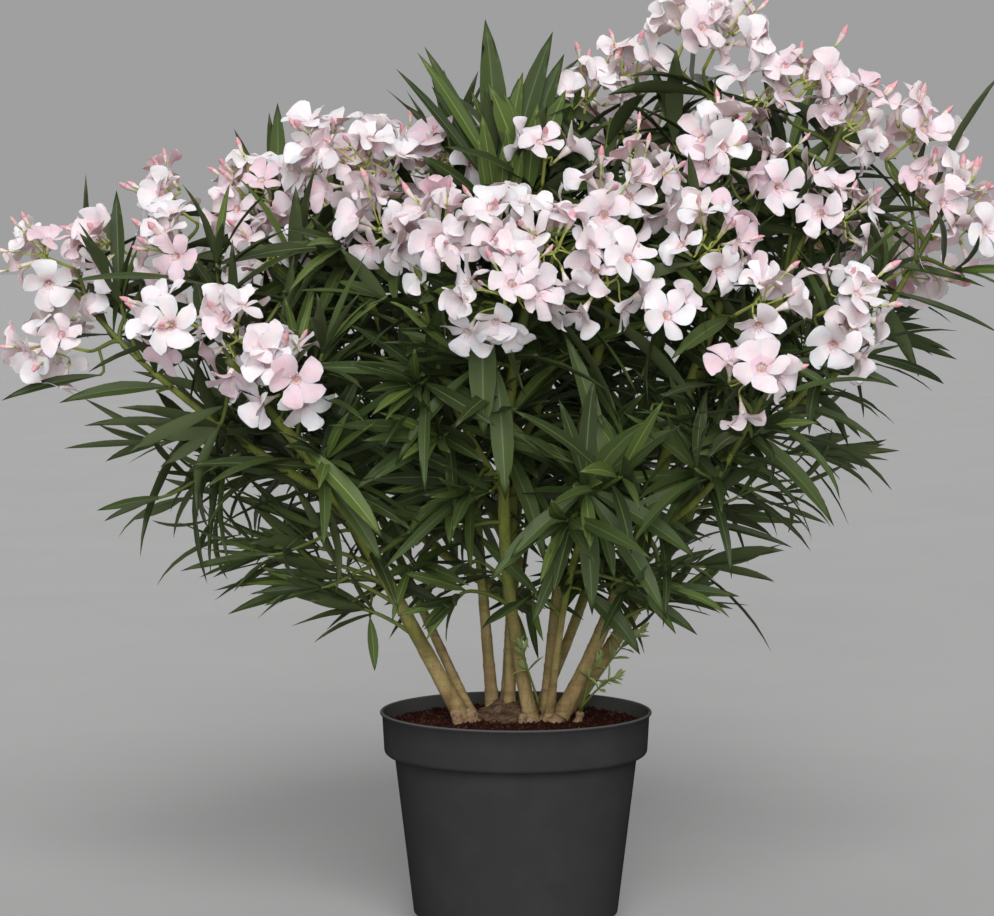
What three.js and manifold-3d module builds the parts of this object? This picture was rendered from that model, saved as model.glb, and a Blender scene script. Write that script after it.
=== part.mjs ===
// A potted oleander: a many-stemmed shrub in a round nursery pot, built as separate closed solids.
// Millimetres, +Z up, +X to the right and +Y to the back. The origin is the middle of the pot's flat
// underside.
//
// Stems rise from a woody root crown on the soil, and side boughs leave them. Each stem and bough ends
// where it enters the mass of foliage that it carries. Lower masses wrap the stems, and are cut round them.
import * as THREE from "three";
import { mergeVertices } from "three/addons/utils/BufferGeometryUtils.js";
import Module from "manifold-3d";

const wasm = await Module();
wasm.setup();

// ---- driving dimensions -------------------------------------------------------------------------
const GAP = 0.3; // clearance between two solids that touch
const POT_HEIGHT = 205;
const POT_RIM_RADIUS = 130; // outside, at the lip
const POT_FOOT_RADIUS = 94; // outside, where it stands
const POT_WALL = 2.4;
const POT_SIDES = 28;
const LIP_HEIGHT = 3;
const LIP_ROUND = 1; // how far the lip's top edge is set back
const RIM_BAND_HEIGHT = 42; // the deep band under the lip
const RIM_BAND_TAPER = 4; // how much narrower the band is at its lower edge
const RIM_BAND_STEP = 10; // how far that edge stands out from the wall under it
const RIM_BAND_ROUND = 5; // height of the band's rounded lower corner
const FOOT_STEP = 4; // the wall steps in by this much just above the foot
const FOOT_STEP_HEIGHT = 11;
const SOIL_DEPTH = 14; // from the lip down to the soil
const SOIL_MOUND = 7; // how much the soil rises to the middle
const CROWN_RADIUS = 58; // of the woody root crown
const CROWN_DEPTH = 46; // half its size from front to back
const CROWN_HEIGHT = 20;
const CROWN_MIDDLE_Y = 4;
const CROWN_SIDES = 9;
const CROWN_RINGS = 4;
const LIMB_SIDES = 6;
const LIMB_STEPS = 4;
const FLARE = 1.55; // how much wider a stem's foot is than its shaft
const FLARE_HEIGHT = 0.08; // of the stem's length
const STEM_TAPER = 0.45; // how much thinner a stem is at its end
const BOUGH_TAPER = 0.4;
const STEM_SINK = 2; // how far a stem runs on below the soil before it is cut, in its own radii
const MASS_DETAIL = 3; // subdivisions of the octahedron that a mass of foliage starts from
const MASS_LUMPS = 0.11; // how far its surface goes in and out, as a share of its size
const LUMPS_ACROSS = 3; // how many times it does so, on the way round
const HUGE = 4000; // a box this large stands for a half-space

const SOIL_TOP = POT_HEIGHT - SOIL_DEPTH; // at the wall
const GROUND = SOIL_TOP + SOIL_MOUND; // at the stems' feet

// Each stem leaves the soil at foot and runs towards the middle of the mass that it carries. bow bends it
// at mid-length.
const STEMS = {
  left: { foot: [-50, -20], carries: "left_front", radius: 8, bow: [8, 8, 8] },
  left_inner: { foot: [-40, -2], carries: "left_high", radius: 5.5, bow: [10, -6, -30] },
  back_left: { foot: [-22, 16], carries: "upper_mid", radius: 6.5, bow: [6, -10, 0] },
  middle: { foot: [14, -22], carries: "front_centre", radius: 7.5, bow: [-26, 50, 6] },
  centre: { foot: [-6, 4], carries: "top_rosette", radius: 6.5, bow: [4, 0, 0] },
  right_middle: { foot: [30, -4], carries: "inner_right", radius: 6.5, bow: [-14, 22, 0] },
  front: { foot: [32, -26], carries: "front_rosette", radius: 4.5, bow: [-6, 24, 20] },
  right: { foot: [46, -16], carries: "front_right", radius: 8.5, bow: [2, 12, -14] },
  right_outer: { foot: [46, 14], carries: "high_right", radius: 7, bow: [6, 0, -50] },
  back_right: { foot: [22, 34], carries: "back_right", radius: 6.5, bow: [0, 8, -40] },
  back: { foot: [-8, 38], carries: "back_mid", radius: 6.5, bow: [0, 6, -40] },
};

// Each bough leaves its stem at a share of the stem's length, and carries the mass of the same name.
const BOUGHS = {
  left_tip: { stem: "left", leaves: 0.62, radius: 4.5, bow: [0, 0, -14] },
  left_upper: { stem: "left", leaves: 0.74, radius: 4, bow: [0, 0, -8] },
  upper_left: { stem: "back_left", leaves: 0.42, radius: 4.5, bow: [-8, 0, -22] },
  front_left: { stem: "middle", leaves: 0.5, radius: 4, bow: [-10, 0, -12] },
  high_centre: { stem: "centre", leaves: 0.45, radius: 4.5, bow: [16, 0, -20] },
  top_right: { stem: "right_outer", leaves: 0.38, radius: 5, bow: [4, 0, -14] },
  right_tip: { stem: "right_outer", leaves: 0.46, radius: 5, bow: [6, 0, -34] },
  right_low: { stem: "right", leaves: 0.5, radius: 4.5, bow: [0, 0, -22] },
  right_front: { stem: "right", leaves: 0.4, radius: 4.5, bow: [8, -10, -14] },
  back_left: { stem: "back", leaves: 0.3, radius: 5, bow: [-10, 0, -40] },
  back_left_high: { stem: "back", leaves: 0.4, radius: 5, bow: [-8, 0, -16] },
  back_high: { stem: "back", leaves: 0.5, radius: 5, bow: [8, 0, -14] },
  back_right_tip: { stem: "back_right", leaves: 0.45, radius: 4.5, bow: [6, 0, -26] },
};

// Each mass of foliage: its middle, and its half-sizes along X, Y and Z.
const MASSES = {
  left_tip: { at: [-416, -10, 596], half: [86, 76, 92] },
  left_upper: { at: [-328, 0, 650], half: [58, 76, 86] },
  left_front: { at: [-252, -178, 545], half: [86, 80, 72] },
  left_high: { at: [-252, 80, 664], half: [58, 76, 80] },
  upper_left: { at: [-166, -40, 696], half: [72, 80, 86] },
  upper_mid: { at: [-80, 100, 712], half: [58, 74, 82] },
  front_centre: { at: [12, -226, 620], half: [84, 80, 76] },
  front_left: { at: [-90, -160, 624], half: [56, 68, 72] },
  top_rosette: { at: [-8, 8, 766], half: [68, 64, 90] },
  high_centre: { at: [88, 44, 762], half: [54, 66, 84] },
  inner_right: { at: [110, -92, 690], half: [54, 70, 78] },
  top_right: { at: [190, 20, 800], half: [70, 72, 102] },
  front_right: { at: [202, -130, 652], half: [72, 78, 80] },
  high_right: { at: [304, 8, 752], half: [64, 76, 88] },
  right_tip: { at: [404, -12, 680], half: [78, 80, 88] },
  right_low: { at: [312, -84, 566], half: [84, 80, 62] },
  right_front: { at: [212, -206, 506], half: [68, 72, 68] },
  right_skirt: { at: [250, 40, 438], half: [98, 76, 78] },
  front_rosette: { at: [74, -206, 430], half: [90, 78, 90] },
  centre_low: { at: [-44, -92, 470], half: [66, 56, 88] },
  left_skirt: { at: [-274, 20, 430], half: [110, 80, 92] },
  left_low: { at: [-152, -50, 354], half: [82, 66, 96] },
  right_low_inner: { at: [142, 10, 342], half: [76, 66, 68] },
  back_left: { at: [-250, 200, 580], half: [84, 84, 76] },
  back_left_high: { at: [-128, 236, 668], half: [72, 76, 74] },
  back_mid: { at: [8, 310, 600], half: [80, 78, 78] },
  back_high: { at: [56, 194, 742], half: [76, 68, 80] },
  back_right: { at: [176, 232, 656], half: [74, 78, 76] },
  back_right_tip: { at: [304, 164, 594], half: [78, 80, 76] },
  back_low_left: { at: [-130, 150, 430], half: [80, 66, 76] },
  back_low_right: { at: [84, 186, 426], half: [84, 66, 76] },
};

const COLOURS = {
  pot: { color: 0x26272a, roughness: 0.5, metalness: 0 },
  soil: { color: 0x3e2419, roughness: 1, metalness: 0 },
  bark: { color: 0x8a7350, roughness: 0.8, metalness: 0 },
  foliage: { color: 0x3d5a2a, roughness: 0.6, metalness: 0 },
};

// ---- joining and cutting ------------------------------------------------------------------------
function solidOf(geometry) {
  const bare = new THREE.BufferGeometry();
  bare.setAttribute("position", geometry.getAttribute("position"));
  if (geometry.index) bare.setIndex(geometry.index);
  const merged = mergeVertices(bare, 1e-3);
  const mesh = new wasm.Mesh({
    numProp: 3,
    vertProperties: new Float32Array(merged.attributes.position.array),
    triVerts: new Uint32Array(merged.index.array),
  });
  return new wasm.Manifold(mesh);
}

function geometryOf(solid) {
  const mesh = solid.getMesh();
  const places = new Float32Array(mesh.numVert * 3);
  for (let i = 0; i < mesh.numVert; i++) {
    places.set(mesh.vertProperties.subarray(i * mesh.numProp, i * mesh.numProp + 3), i * 3);
  }
  const geometry = new THREE.BufferGeometry();
  geometry.setAttribute("position", new THREE.BufferAttribute(places, 3));
  geometry.setIndex(new THREE.BufferAttribute(new Uint32Array(mesh.triVerts), 1));
  geometry.computeVertexNormals();
  return geometry;
}

function largest(solid) {
  return solid.decompose().reduce((best, piece) => (piece.volume() > best.volume() ? piece : best));
}

function cutBy(solid, cutters) {
  return cutters.reduce((left, cutter) => left.subtract(cutter), solid);
}

// Everything on the far side of a plane through point, in the direction of normal.
function beyond(point, normal) {
  const box = new THREE.BoxGeometry(HUGE, HUGE, HUGE).translate(0, 0, HUGE / 2);
  const turn = new THREE.Quaternion().setFromUnitVectors(new THREE.Vector3(0, 0, 1), normal);
  return solidOf(box.applyQuaternion(turn).translate(point.x, point.y, point.z));
}

// ---- pot and soil -------------------------------------------------------------------------------
const BAND_FOOT = POT_HEIGHT - RIM_BAND_HEIGHT;
const BAND_RADIUS = POT_RIM_RADIUS - RIM_BAND_TAPER;
const CORNER_TOP = BAND_FOOT + RIM_BAND_ROUND;

// The pot's outside radius at a height, on the plain wall between the foot and the rim band.
function wallRadius(z) {
  const low = POT_FOOT_RADIUS + FOOT_STEP;
  return THREE.MathUtils.mapLinear(z, FOOT_STEP_HEIGHT, BAND_FOOT, low, BAND_RADIUS - RIM_BAND_STEP);
}

// The inside of the pot, drawn in by a clearance, from its floor up to a height in the rim band.
function insideProfile(clearance, top) {
  const inset = POT_WALL + clearance;
  const lipRadius = POT_RIM_RADIUS - LIP_ROUND;
  const atTop = THREE.MathUtils.mapLinear(top, CORNER_TOP, POT_HEIGHT, BAND_RADIUS, lipRadius);
  return [
    [0, inset],
    [POT_FOOT_RADIUS - inset, inset],
    [POT_FOOT_RADIUS - inset, FOOT_STEP_HEIGHT],
    [wallRadius(BAND_FOOT) - inset, BAND_FOOT + POT_WALL],
    [BAND_RADIUS - inset, CORNER_TOP + POT_WALL],
    [atTop - inset, top],
  ];
}

function latheSolid(profile) {
  const points = profile.map(([r, z]) => new THREE.Vector2(r, z));
  return solidOf(new THREE.LatheGeometry(points, POT_SIDES).rotateX(Math.PI / 2));
}

function potSolid() {
  const outside = [
    [0, 0],
    [POT_FOOT_RADIUS, 0],
    [POT_FOOT_RADIUS, FOOT_STEP_HEIGHT - FOOT_STEP / 2],
    [wallRadius(FOOT_STEP_HEIGHT), FOOT_STEP_HEIGHT],
    [wallRadius(BAND_FOOT), BAND_FOOT],
    [BAND_RADIUS - RIM_BAND_ROUND / 2, BAND_FOOT + RIM_BAND_ROUND / 4],
    [BAND_RADIUS, CORNER_TOP],
    [POT_RIM_RADIUS - LIP_ROUND, POT_HEIGHT - LIP_HEIGHT],
    [POT_RIM_RADIUS, POT_HEIGHT - LIP_HEIGHT / 2],
    [POT_RIM_RADIUS - LIP_ROUND, POT_HEIGHT],
  ];
  return latheSolid([...outside, ...insideProfile(0, POT_HEIGHT).reverse()]);
}

function soilSolid() {
  return latheSolid([...insideProfile(GAP, SOIL_TOP), [CROWN_RADIUS, GROUND], [0, GROUND]]);
}

// ---- limbs --------------------------------------------------------------------------------------
// A round limb whose middle follows curve, with the radius that radiusAt gives for each share of its length.
function limbSolid(curve, radiusAt, extra) {
  const tube = new THREE.CylinderGeometry(1, 1, 1, LIMB_SIDES, LIMB_STEPS);
  const frames = curve.computeFrenetFrames(LIMB_STEPS);
  const places = tube.getAttribute("position");
  for (let i = 0; i < places.count; i++) {
    const step = Math.round((places.getY(i) + 0.5) * LIMB_STEPS);
    const share = step / LIMB_STEPS;
    const radius = radiusAt(share) + extra;
    const at = curve
      .getPointAt(share)
      .addScaledVector(frames.normals[step], places.getX(i) * radius)
      .addScaledVector(frames.binormals[step], -places.getZ(i) * radius);
    places.setXYZ(i, at.x, at.y, at.z);
  }
  return solidOf(tube);
}

function bentCurve(from, to, bow) {
  const middle = from.clone().lerp(to, 0.5).add(new THREE.Vector3(...bow).multiplyScalar(2));
  return new THREE.QuadraticBezierCurve3(from, middle, to);
}

function stemRadius(radius) {
  const flare = (share) => 1 + (FLARE - 1) * Math.exp(-share / FLARE_HEIGHT);
  return (share) => radius * (1 - STEM_TAPER * share) * flare(share);
}

function boughRadius(radius) {
  return (share) => radius * (1 - BOUGH_TAPER * share);
}

// ---- masses of foliage --------------------------------------------------------------------------
// An uneven closed shape: a round one pushed in and out by two crossing waves, which start elsewhere on
// each mass.
function massSolid({ at, half }, number, extra) {
  const shape = new THREE.OctahedronGeometry(1, MASS_DETAIL);
  const places = shape.getAttribute("position");
  for (let i = 0; i < places.count; i++) {
    const n = new THREE.Vector3().fromBufferAttribute(places, i).normalize();
    const waves = Math.sin(LUMPS_ACROSS * n.x + number) * Math.cos(LUMPS_ACROSS * n.y - number)
      + Math.sin(LUMPS_ACROSS * (n.z + n.x) + 2 * number) / 2;
    const size = 1 + MASS_LUMPS * waves;
    const [x, y, z] = n.toArray().map((part, axis) => at[axis] + part * (half[axis] * size + extra));
    places.setXYZ(i, x, y, z);
  }
  return solidOf(shape);
}

// ---- assembly -----------------------------------------------------------------------------------
const massNames = Object.keys(MASSES);
const middleOf = (name) => new THREE.Vector3(...MASSES[name].at);
const massOf = (name, extra) => massSolid(MASSES[name], massNames.indexOf(name), extra);
const swollenMasses = Object.fromEntries(massNames.map((name) => [name, massOf(name, GAP)]));

// Each limb as its curve and its radius, before anything is cut.
const limbs = {};
for (const [name, { foot, carries, radius, bow }] of Object.entries(STEMS)) {
  const start = new THREE.Vector3(foot[0], foot[1], GROUND);
  const curve = bentCurve(start, middleOf(carries), bow);
  const below = start.clone().addScaledVector(curve.getTangentAt(0), -radius * STEM_SINK);
  limbs["stem_" + name] = {
    curve: bentCurve(below, middleOf(carries), bow),
    radiusAt: stemRadius(radius),
    carries,
  };
}
for (const [name, { stem, leaves, radius, bow }] of Object.entries(BOUGHS)) {
  const start = limbs["stem_" + stem].curve.getPointAt(leaves);
  limbs["bough_" + name] = {
    curve: bentCurve(start, middleOf(name), bow),
    radiusAt: boughRadius(radius),
    carries: name,
  };
}

const underGround = beyond(new THREE.Vector3(0, 0, GROUND + GAP), new THREE.Vector3(0, 0, -1));
const swollenLimbs = {};
const limbSolids = {};
for (const [name, { curve, radiusAt, carries }] of Object.entries(limbs)) {
  const whole = limbSolid(curve, radiusAt, 0);
  const cutters = [underGround, swollenMasses[carries], ...Object.values(swollenLimbs)];
  limbSolids[name] = largest(cutBy(whole, cutters));
  swollenLimbs[name] = limbSolid(curve, radiusAt, GAP);
}

// A low dome, cut flat where it lies on the soil, with a socket for each stem.
const crownShape = new THREE.SphereGeometry(1, CROWN_SIDES, CROWN_RINGS)
  .rotateX(Math.PI / 2)
  .scale(CROWN_RADIUS, CROWN_DEPTH, CROWN_HEIGHT)
  .translate(0, CROWN_MIDDLE_Y, GROUND);
const crown = largest(cutBy(solidOf(crownShape), [underGround, ...Object.values(swollenLimbs)]));

// Two masses that meet are parted by a plane between their middles, nearer to the smaller one.
function partingPlanes(name) {
  return massNames
    .filter((other) => other !== name && !swollenMasses[name].intersect(swollenMasses[other]).isEmpty())
    .map((other) => {
      const between = middleOf(other).sub(middleOf(name));
      const normal = between.clone().normalize();
      const reach = (mass) => new THREE.Vector3(...mass.half).multiply(normal).length();
      const share = reach(MASSES[name]) / (reach(MASSES[name]) + reach(MASSES[other]));
      const point = middleOf(name).addScaledVector(between, share).addScaledVector(normal, -GAP / 2);
      return beyond(point, normal);
    });
}

const plant = new THREE.Group();

function addNode(name, solid, look) {
  const mesh = new THREE.Mesh(geometryOf(solid), new THREE.MeshStandardMaterial(look));
  mesh.name = name;
  plant.add(mesh);
}

addNode("pot", potSolid(), COLOURS.pot);
addNode("soil", soilSolid(), COLOURS.soil);
addNode("root_crown", crown, COLOURS.bark);
for (const [name, solid] of Object.entries(limbSolids)) {
  addNode(name, solid, COLOURS.bark);
}
for (const name of massNames) {
  const cutters = [...partingPlanes(name), ...Object.values(swollenLimbs)];
  addNode("foliage_" + name, largest(cutBy(massOf(name, 0), cutters)), COLOURS.foliage);
}

export default plant;
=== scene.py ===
import math
from dataclasses import dataclass

import bpy
import numpy as np
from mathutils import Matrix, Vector
from mathutils.kdtree import KDTree


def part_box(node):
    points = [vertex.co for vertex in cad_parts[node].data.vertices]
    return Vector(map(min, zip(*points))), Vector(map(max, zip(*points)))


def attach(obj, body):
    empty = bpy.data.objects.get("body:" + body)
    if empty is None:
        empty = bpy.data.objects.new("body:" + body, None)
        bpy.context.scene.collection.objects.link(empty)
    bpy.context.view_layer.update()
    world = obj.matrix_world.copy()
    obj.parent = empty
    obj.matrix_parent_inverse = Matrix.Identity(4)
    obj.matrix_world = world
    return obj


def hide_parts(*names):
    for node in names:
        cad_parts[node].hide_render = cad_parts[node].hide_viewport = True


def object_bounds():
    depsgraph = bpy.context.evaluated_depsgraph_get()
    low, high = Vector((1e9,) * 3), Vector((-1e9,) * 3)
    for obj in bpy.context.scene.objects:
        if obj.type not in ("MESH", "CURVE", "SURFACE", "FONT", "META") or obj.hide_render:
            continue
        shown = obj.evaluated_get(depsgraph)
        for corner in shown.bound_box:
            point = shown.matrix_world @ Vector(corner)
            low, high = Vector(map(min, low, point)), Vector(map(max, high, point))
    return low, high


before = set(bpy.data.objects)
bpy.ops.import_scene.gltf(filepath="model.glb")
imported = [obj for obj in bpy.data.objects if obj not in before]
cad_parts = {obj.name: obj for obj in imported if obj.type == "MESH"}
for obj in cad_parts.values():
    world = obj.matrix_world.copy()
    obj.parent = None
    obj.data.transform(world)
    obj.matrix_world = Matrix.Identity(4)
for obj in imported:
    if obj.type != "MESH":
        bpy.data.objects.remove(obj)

CAD_BOX = [list(corner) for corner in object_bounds()]
MM = 0.001
UP = np.array([0.0, 0.0, 1.0])
TURN = 2 * math.pi
ANY_TURN = (0, 6.28)  # where the start of a ring or a wave may lie, in radians
rng = np.random.default_rng(1917)

# ---- driving dimensions, in millimetres ----
LEAF_LENGTH = (84, 150)
LEAF_WIDTH = 17.5
LEAF_THICK = 0.6
LEAVES_IN_WHORL = 3
LEAVES_MISSING = 0.06  # the share that the whorls lack
LEAF_OPENING = (60, 20)  # between a leaf and its shoot, in degrees: low down, and in the bud
YOUNG_FROM = 0.72  # how far up a shoot its leaves start to be younger
SHOOT_RADIUS = (2.6, 1.5)  # at its foot and at its tip
SHOOT_ENDS = (0.42, 0.62)  # from the middle of a mass to its outside
SHOOT_SPREAD = 100  # how far the shoots of a mass part from the way it leans, in degrees
SHOOT_HANDLES = (0.27, 0.25)  # how far a shoot keeps to its first and last ways, in shares of its reach
TUBE_LENGTH = 21  # of a flower, from its stalk to its throat
THROAT_RADIUS = 4.2
PETAL_LENGTH = 23.5
PETAL_WIDTH = 10.4  # half of a petal's width where it is widest
PETAL_THICK = 0.35
PETAL_UNEVEN = (0.05, 0.5)  # of its outline, and of its middle line in millimetres
PETALS = 5
PETAL_RISE = (30, 46)  # between the flower's axis and a petal's foot, in degrees
PETAL_CURL = (24, 88)  # how far a petal bends outward, in degrees
PETAL_SIZES = (0.86, 1.12)
FLOWER_SIZES = (0.84, 1.08)
HALF_OPEN = 0.16  # the share of flowers that haven't opened flat
HALF_OPENNESS = (0.4, 0.7)
TRUSS_BRANCHES = (5, 62)  # their number, and how far they spread from the truss's axis, in degrees
TRUSS_RADIUS = (1.8, 1.5)  # of a truss's stalk, at its foot and at its end
BRANCH_RADIUS = (1.4, 1.05)
STALK_RADIUS = (0.95, 0.8)
TRUSS_STALK = 30  # how long it is, below the fork of its truss
BUD_LENGTH = (16, 27)
BUD_REACH = (18, 42)  # from the fork of its truss
BUD_RADIUS = 3.2
LIMB_RING_GAP = 3  # between two rings of a limb's mesh
SCAR_GAP = 31  # between two leaf scars on a limb
SUNK = 6  # how far a stem's foot is sunk in, and how far each limb's tip runs on into its mass
LIMB_SLIMMER = 0.84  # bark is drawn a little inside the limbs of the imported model
STEM_FLARE = (0.65, 20)  # how much wider a stem is at its foot, and how far up that goes
BOUGH_FLARE = (0.35, 10)
SIDE_TWIG_GAP = 56  # between two leafy side twigs on a limb
SIDE_TWIG_LENGTH = (45, 105)
CARRIER_REACH = 1.25  # how near a stem ends to the mass it carries, in half-sizes of the mass
REGION_EDGE = 0.13  # where the crown's four parts meet, in metres
LIVE_EDGE = 8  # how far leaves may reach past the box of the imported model
ABOVE_POT = 22  # how far leaves stay above the pot's lip
SHORTEST = 0.35  # what a leaf keeps of its length at least, where it is shortened
CROWN_MIDDLE = np.array([0, 20, 480])
VIEW_CLEAR = 17  # leaves that aren't set out one by one keep this far from the guarded places
# How far out of a flower the guarded places lie: the way it faces, and straight out of the crown.
FLOWER_VIEWS = ((6, 28, 50), (20, 42, 66))
STEM_VIEWS = (14, range(24, 250, 24))  # between the guarded places up a stem, and how far in front they lie
UNDER_BLOSSOM = 0.38  # how much lower leafy shoots end where a mass has trusses, in half-heights of the mass
TIP_GAP = 15  # between two whorls of a leafy tip
TIP_LENGTH = 34
TIP_DROP = 45  # how far below a leafy tip the limb is sought that it grows from
BARE_FOOT = (112, 268)  # nothing but the basal shoots has leaves this near the stems, below this height
# Further out, the crown's underside starts at this reach and height, and rises by this share of the reach.
UNDERSIDE = (120, 258, 0.42)
SIDE_TWIGS_FROM = (0.50, 0.15)  # how far up a stem, and up a bough, its side twigs start
LEAVES_TO_LIVE = 0.45  # a shoot that would keep a smaller share of its leaves than this isn't grown

# Where the photo shows sky between the leaves: from and to this far across and below this height, in
# millimetres, this share of the leaves is left out, and the others are slimmer by this factor and hang by
# this much more.
OPEN_PARTS = [
    (-600, -330, 545, 0.75, 0.8, 0.1),
    (-330, -100, 450, 0.22, 0.78, 0.25),
    (100, 330, 480, 0.58, 0.84, 0.35),
    (240, 600, 640, 0.55, 0.80, 0.25),
    (335, 600, 525, 0.85, 0.80, 0.3),
    (-600, -385, 520, 0.9, 1.0, 0.0),
]
OPEN_UP_TO = 130  # how far back the open parts go
SHOWN_STEM = ("stem_middle", 335, 455)  # the photo shows it between the leaves, from and to these heights

# ---- pot, root crown and stage ----
POT_SIDES = 128
WAVES = 9  # in each layer of unevenness
SOIL_CRUMBS = 6500
SOIL_MOUND = (58, 7)  # the reach from which the soil falls away, and by how much it does at its edge
SOIL_CLODS = [(1.3, 3, 90), (1.0, 5, 260)]  # height, seed, and how fine they are
# Burls at the stems' feet: place, how far they spread, how high they rise, in millimetres, and their knobs.
BURLS = [(-44, -22, 7, 12, 7), (34, -22, 10, 9, 8), (12, -26, 5, 3, 3), (-8, 6, 26, 11, 26)]
STEM_KNOBS = 3
CAKED_FROM = 20  # a burl of more knobs than this is caked with peat
KNOB_SIZE = (5.6, 9.6)
KNOB_SQUASH = np.array([1.0, 1.0, 0.72])
MOUND_WAVES = [(3.2, 11, 150), (3.0, 12, 420), (2.6, 13, 900)]  # of the root crown's mound
# Old stubs on the root crown: place, radius and height in millimetres, and how their radius changes.
STUBS = [(-54, -32, 5.2, 15), (6, -36, 4.0, 11), (58, -26, 4.0, 12), (-20, 34, 4.6, 15), (26, 10, 4.4, 22)]
STUB_SHAPE = np.array([1.3, 1.18, 1.04, 0.96, 0.95, 1.0, 1.02, 0.92, 0.6])
# Basal shoots: start, end and the way the end points.
BASAL_ROUTES = [
    ((62, -30, 208), (76, -44, 258), (0.5, -0.2, 0.9)),
    ((60, -28, 212), (116, -36, 284), (0.9, 0.0, 0.5)),
    ((60, -34, 210), (92, -58, 244), (0.9, -0.2, 0.4)),
    ((22, -36, 214), (4, -54, 272), (-0.3, -0.1, 1.0)),
]
LIGHTS = [  # name, place in metres, power, and how wide its disc is, in degrees
    ("key", (0.2, -2.4, 2.5), 1.95, 34),
    ("front", (-0.1, -3.0, 1.0), 1.2, 24),
    ("rear", (-0.6, 2.8, 2.6), 0.5, 50),
]
CAMERA_LENS = 114.4
CAMERA_PLACE = (-0.018, -3.0, 0.653)
CAMERA_DOWN = 3.94  # degrees

# ---- where the blossom is ----
# For each mass, its trusses: the middle of the flowers in millimetres, how many flowers the front shows, and
# how many buds. Those on the front are set out one by one, and the back is like them.
TRUSSES = {
    "left_tip": [
        (-456, -40, 644, 4, 4), (-448, -40, 560, 7, 2), (-397, -40, 658, 3, 2), (-424, 50, 606, 4, 2),
    ],
    "left_upper": [(-340, 0, 696, 4, 4), (-325, -80, 649, 4, 4)],
    "left_front": [(-312, -180, 586, 4, 5), (-261, -180, 568, 5, 2), (-222, -184, 536, 8, 2)],
    "left_high": [(-265, 40, 706, 7, 4), (-240, -20, 648, 4, 3), (-250, 140, 700, 5, 3)],
    "upper_left": [(-184, -30, 742, 8, 3), (-150, -60, 734, 8, 2), (-128, -110, 672, 6, 2)],
    "upper_mid": [(-112, 60, 732, 5, 3), (-66, 20, 746, 6, 2)],
    "front_left": [(-69, -170, 666, 7, 3)],
    "front_centre": [
        (-15, -200, 668, 5, 3), (-12, -262, 612, 10, 3), (33, -230, 650, 7, 4), (84, -210, 622, 5, 2),
    ],
    "top_rosette": [(28, -66, 742, 2, 1)],
    "high_centre": [(71, 40, 800, 4, 5), (114, 40, 822, 3, 2)],
    "inner_right": [(115, -90, 717, 7, 4), (84, -120, 700, 4, 3)],
    "top_right": [(171, 20, 868, 6, 3), (200, 20, 858, 5, 3), (199, -60, 745, 6, 4), (244, -40, 721, 3, 2)],
    "high_right": [(286, 20, 811, 4, 3), (240, 20, 797, 2, 4), (330, 20, 775, 7, 3), (313, -50, 680, 5, 2)],
    "front_right": [(179, -180, 652, 6, 3), (221, -184, 602, 3, 2), (129, -190, 589, 1, 0)],
    "right_tip": [(388, 0, 758, 5, 3), (402, -10, 700, 5, 4), (436, -10, 676, 6, 6), (386, 20, 630, 4, 2)],
    "right_low": [(311, -110, 600, 5, 4), (300, -130, 562, 2, 1)],
    "right_front": [(212, -236, 536, 3, 2)],
    "back_left": [(-270, 250, 640, 7, 3), (-300, 180, 606, 5, 2), (-190, 300, 634, 5, 3)],
    "back_left_high": [(-130, 270, 735, 7, 4), (-210, 220, 712, 5, 3)],
    "back_mid": [(10, 360, 670, 8, 4), (-30, 350, 590, 5, 2), (70, 340, 620, 4, 2)],
    "back_high": [(60, 230, 775, 7, 4), (110, 150, 770, 5, 3), (0, 190, 750, 5, 3)],
    "back_right": [(185, 285, 725, 7, 4), (230, 180, 760, 5, 3), (150, 300, 640, 4, 2)],
    "back_right_tip": [(320, 220, 660, 7, 3), (370, 130, 640, 5, 3), (280, 260, 590, 4, 2)],
}
UNSEEN = 1.15  # the flowers of a truss for each one that its front shows
TRUSS_REACH = (21, 4.8)  # from its fork to its flowers: a length, and one more times the root of their number
TRUSS_MIDDLE = 0.62  # how far out the middle of its flowers is, in shares of its reach
FORK_REACH = (0.20, 0.30)  # how far out its branches fork, and its flowers open, in shares of its reach
FLOWER_REACH = (0.80, 1.18)
FRONT_LEAN = np.array([0, -0.42, 0.08])  # how the trusses of the front turn to the light
BACK_LEAN = np.array([0, 0.252, 0.08])
BACK_FROM = 120  # how far back the trusses start to turn to the rear

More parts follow.
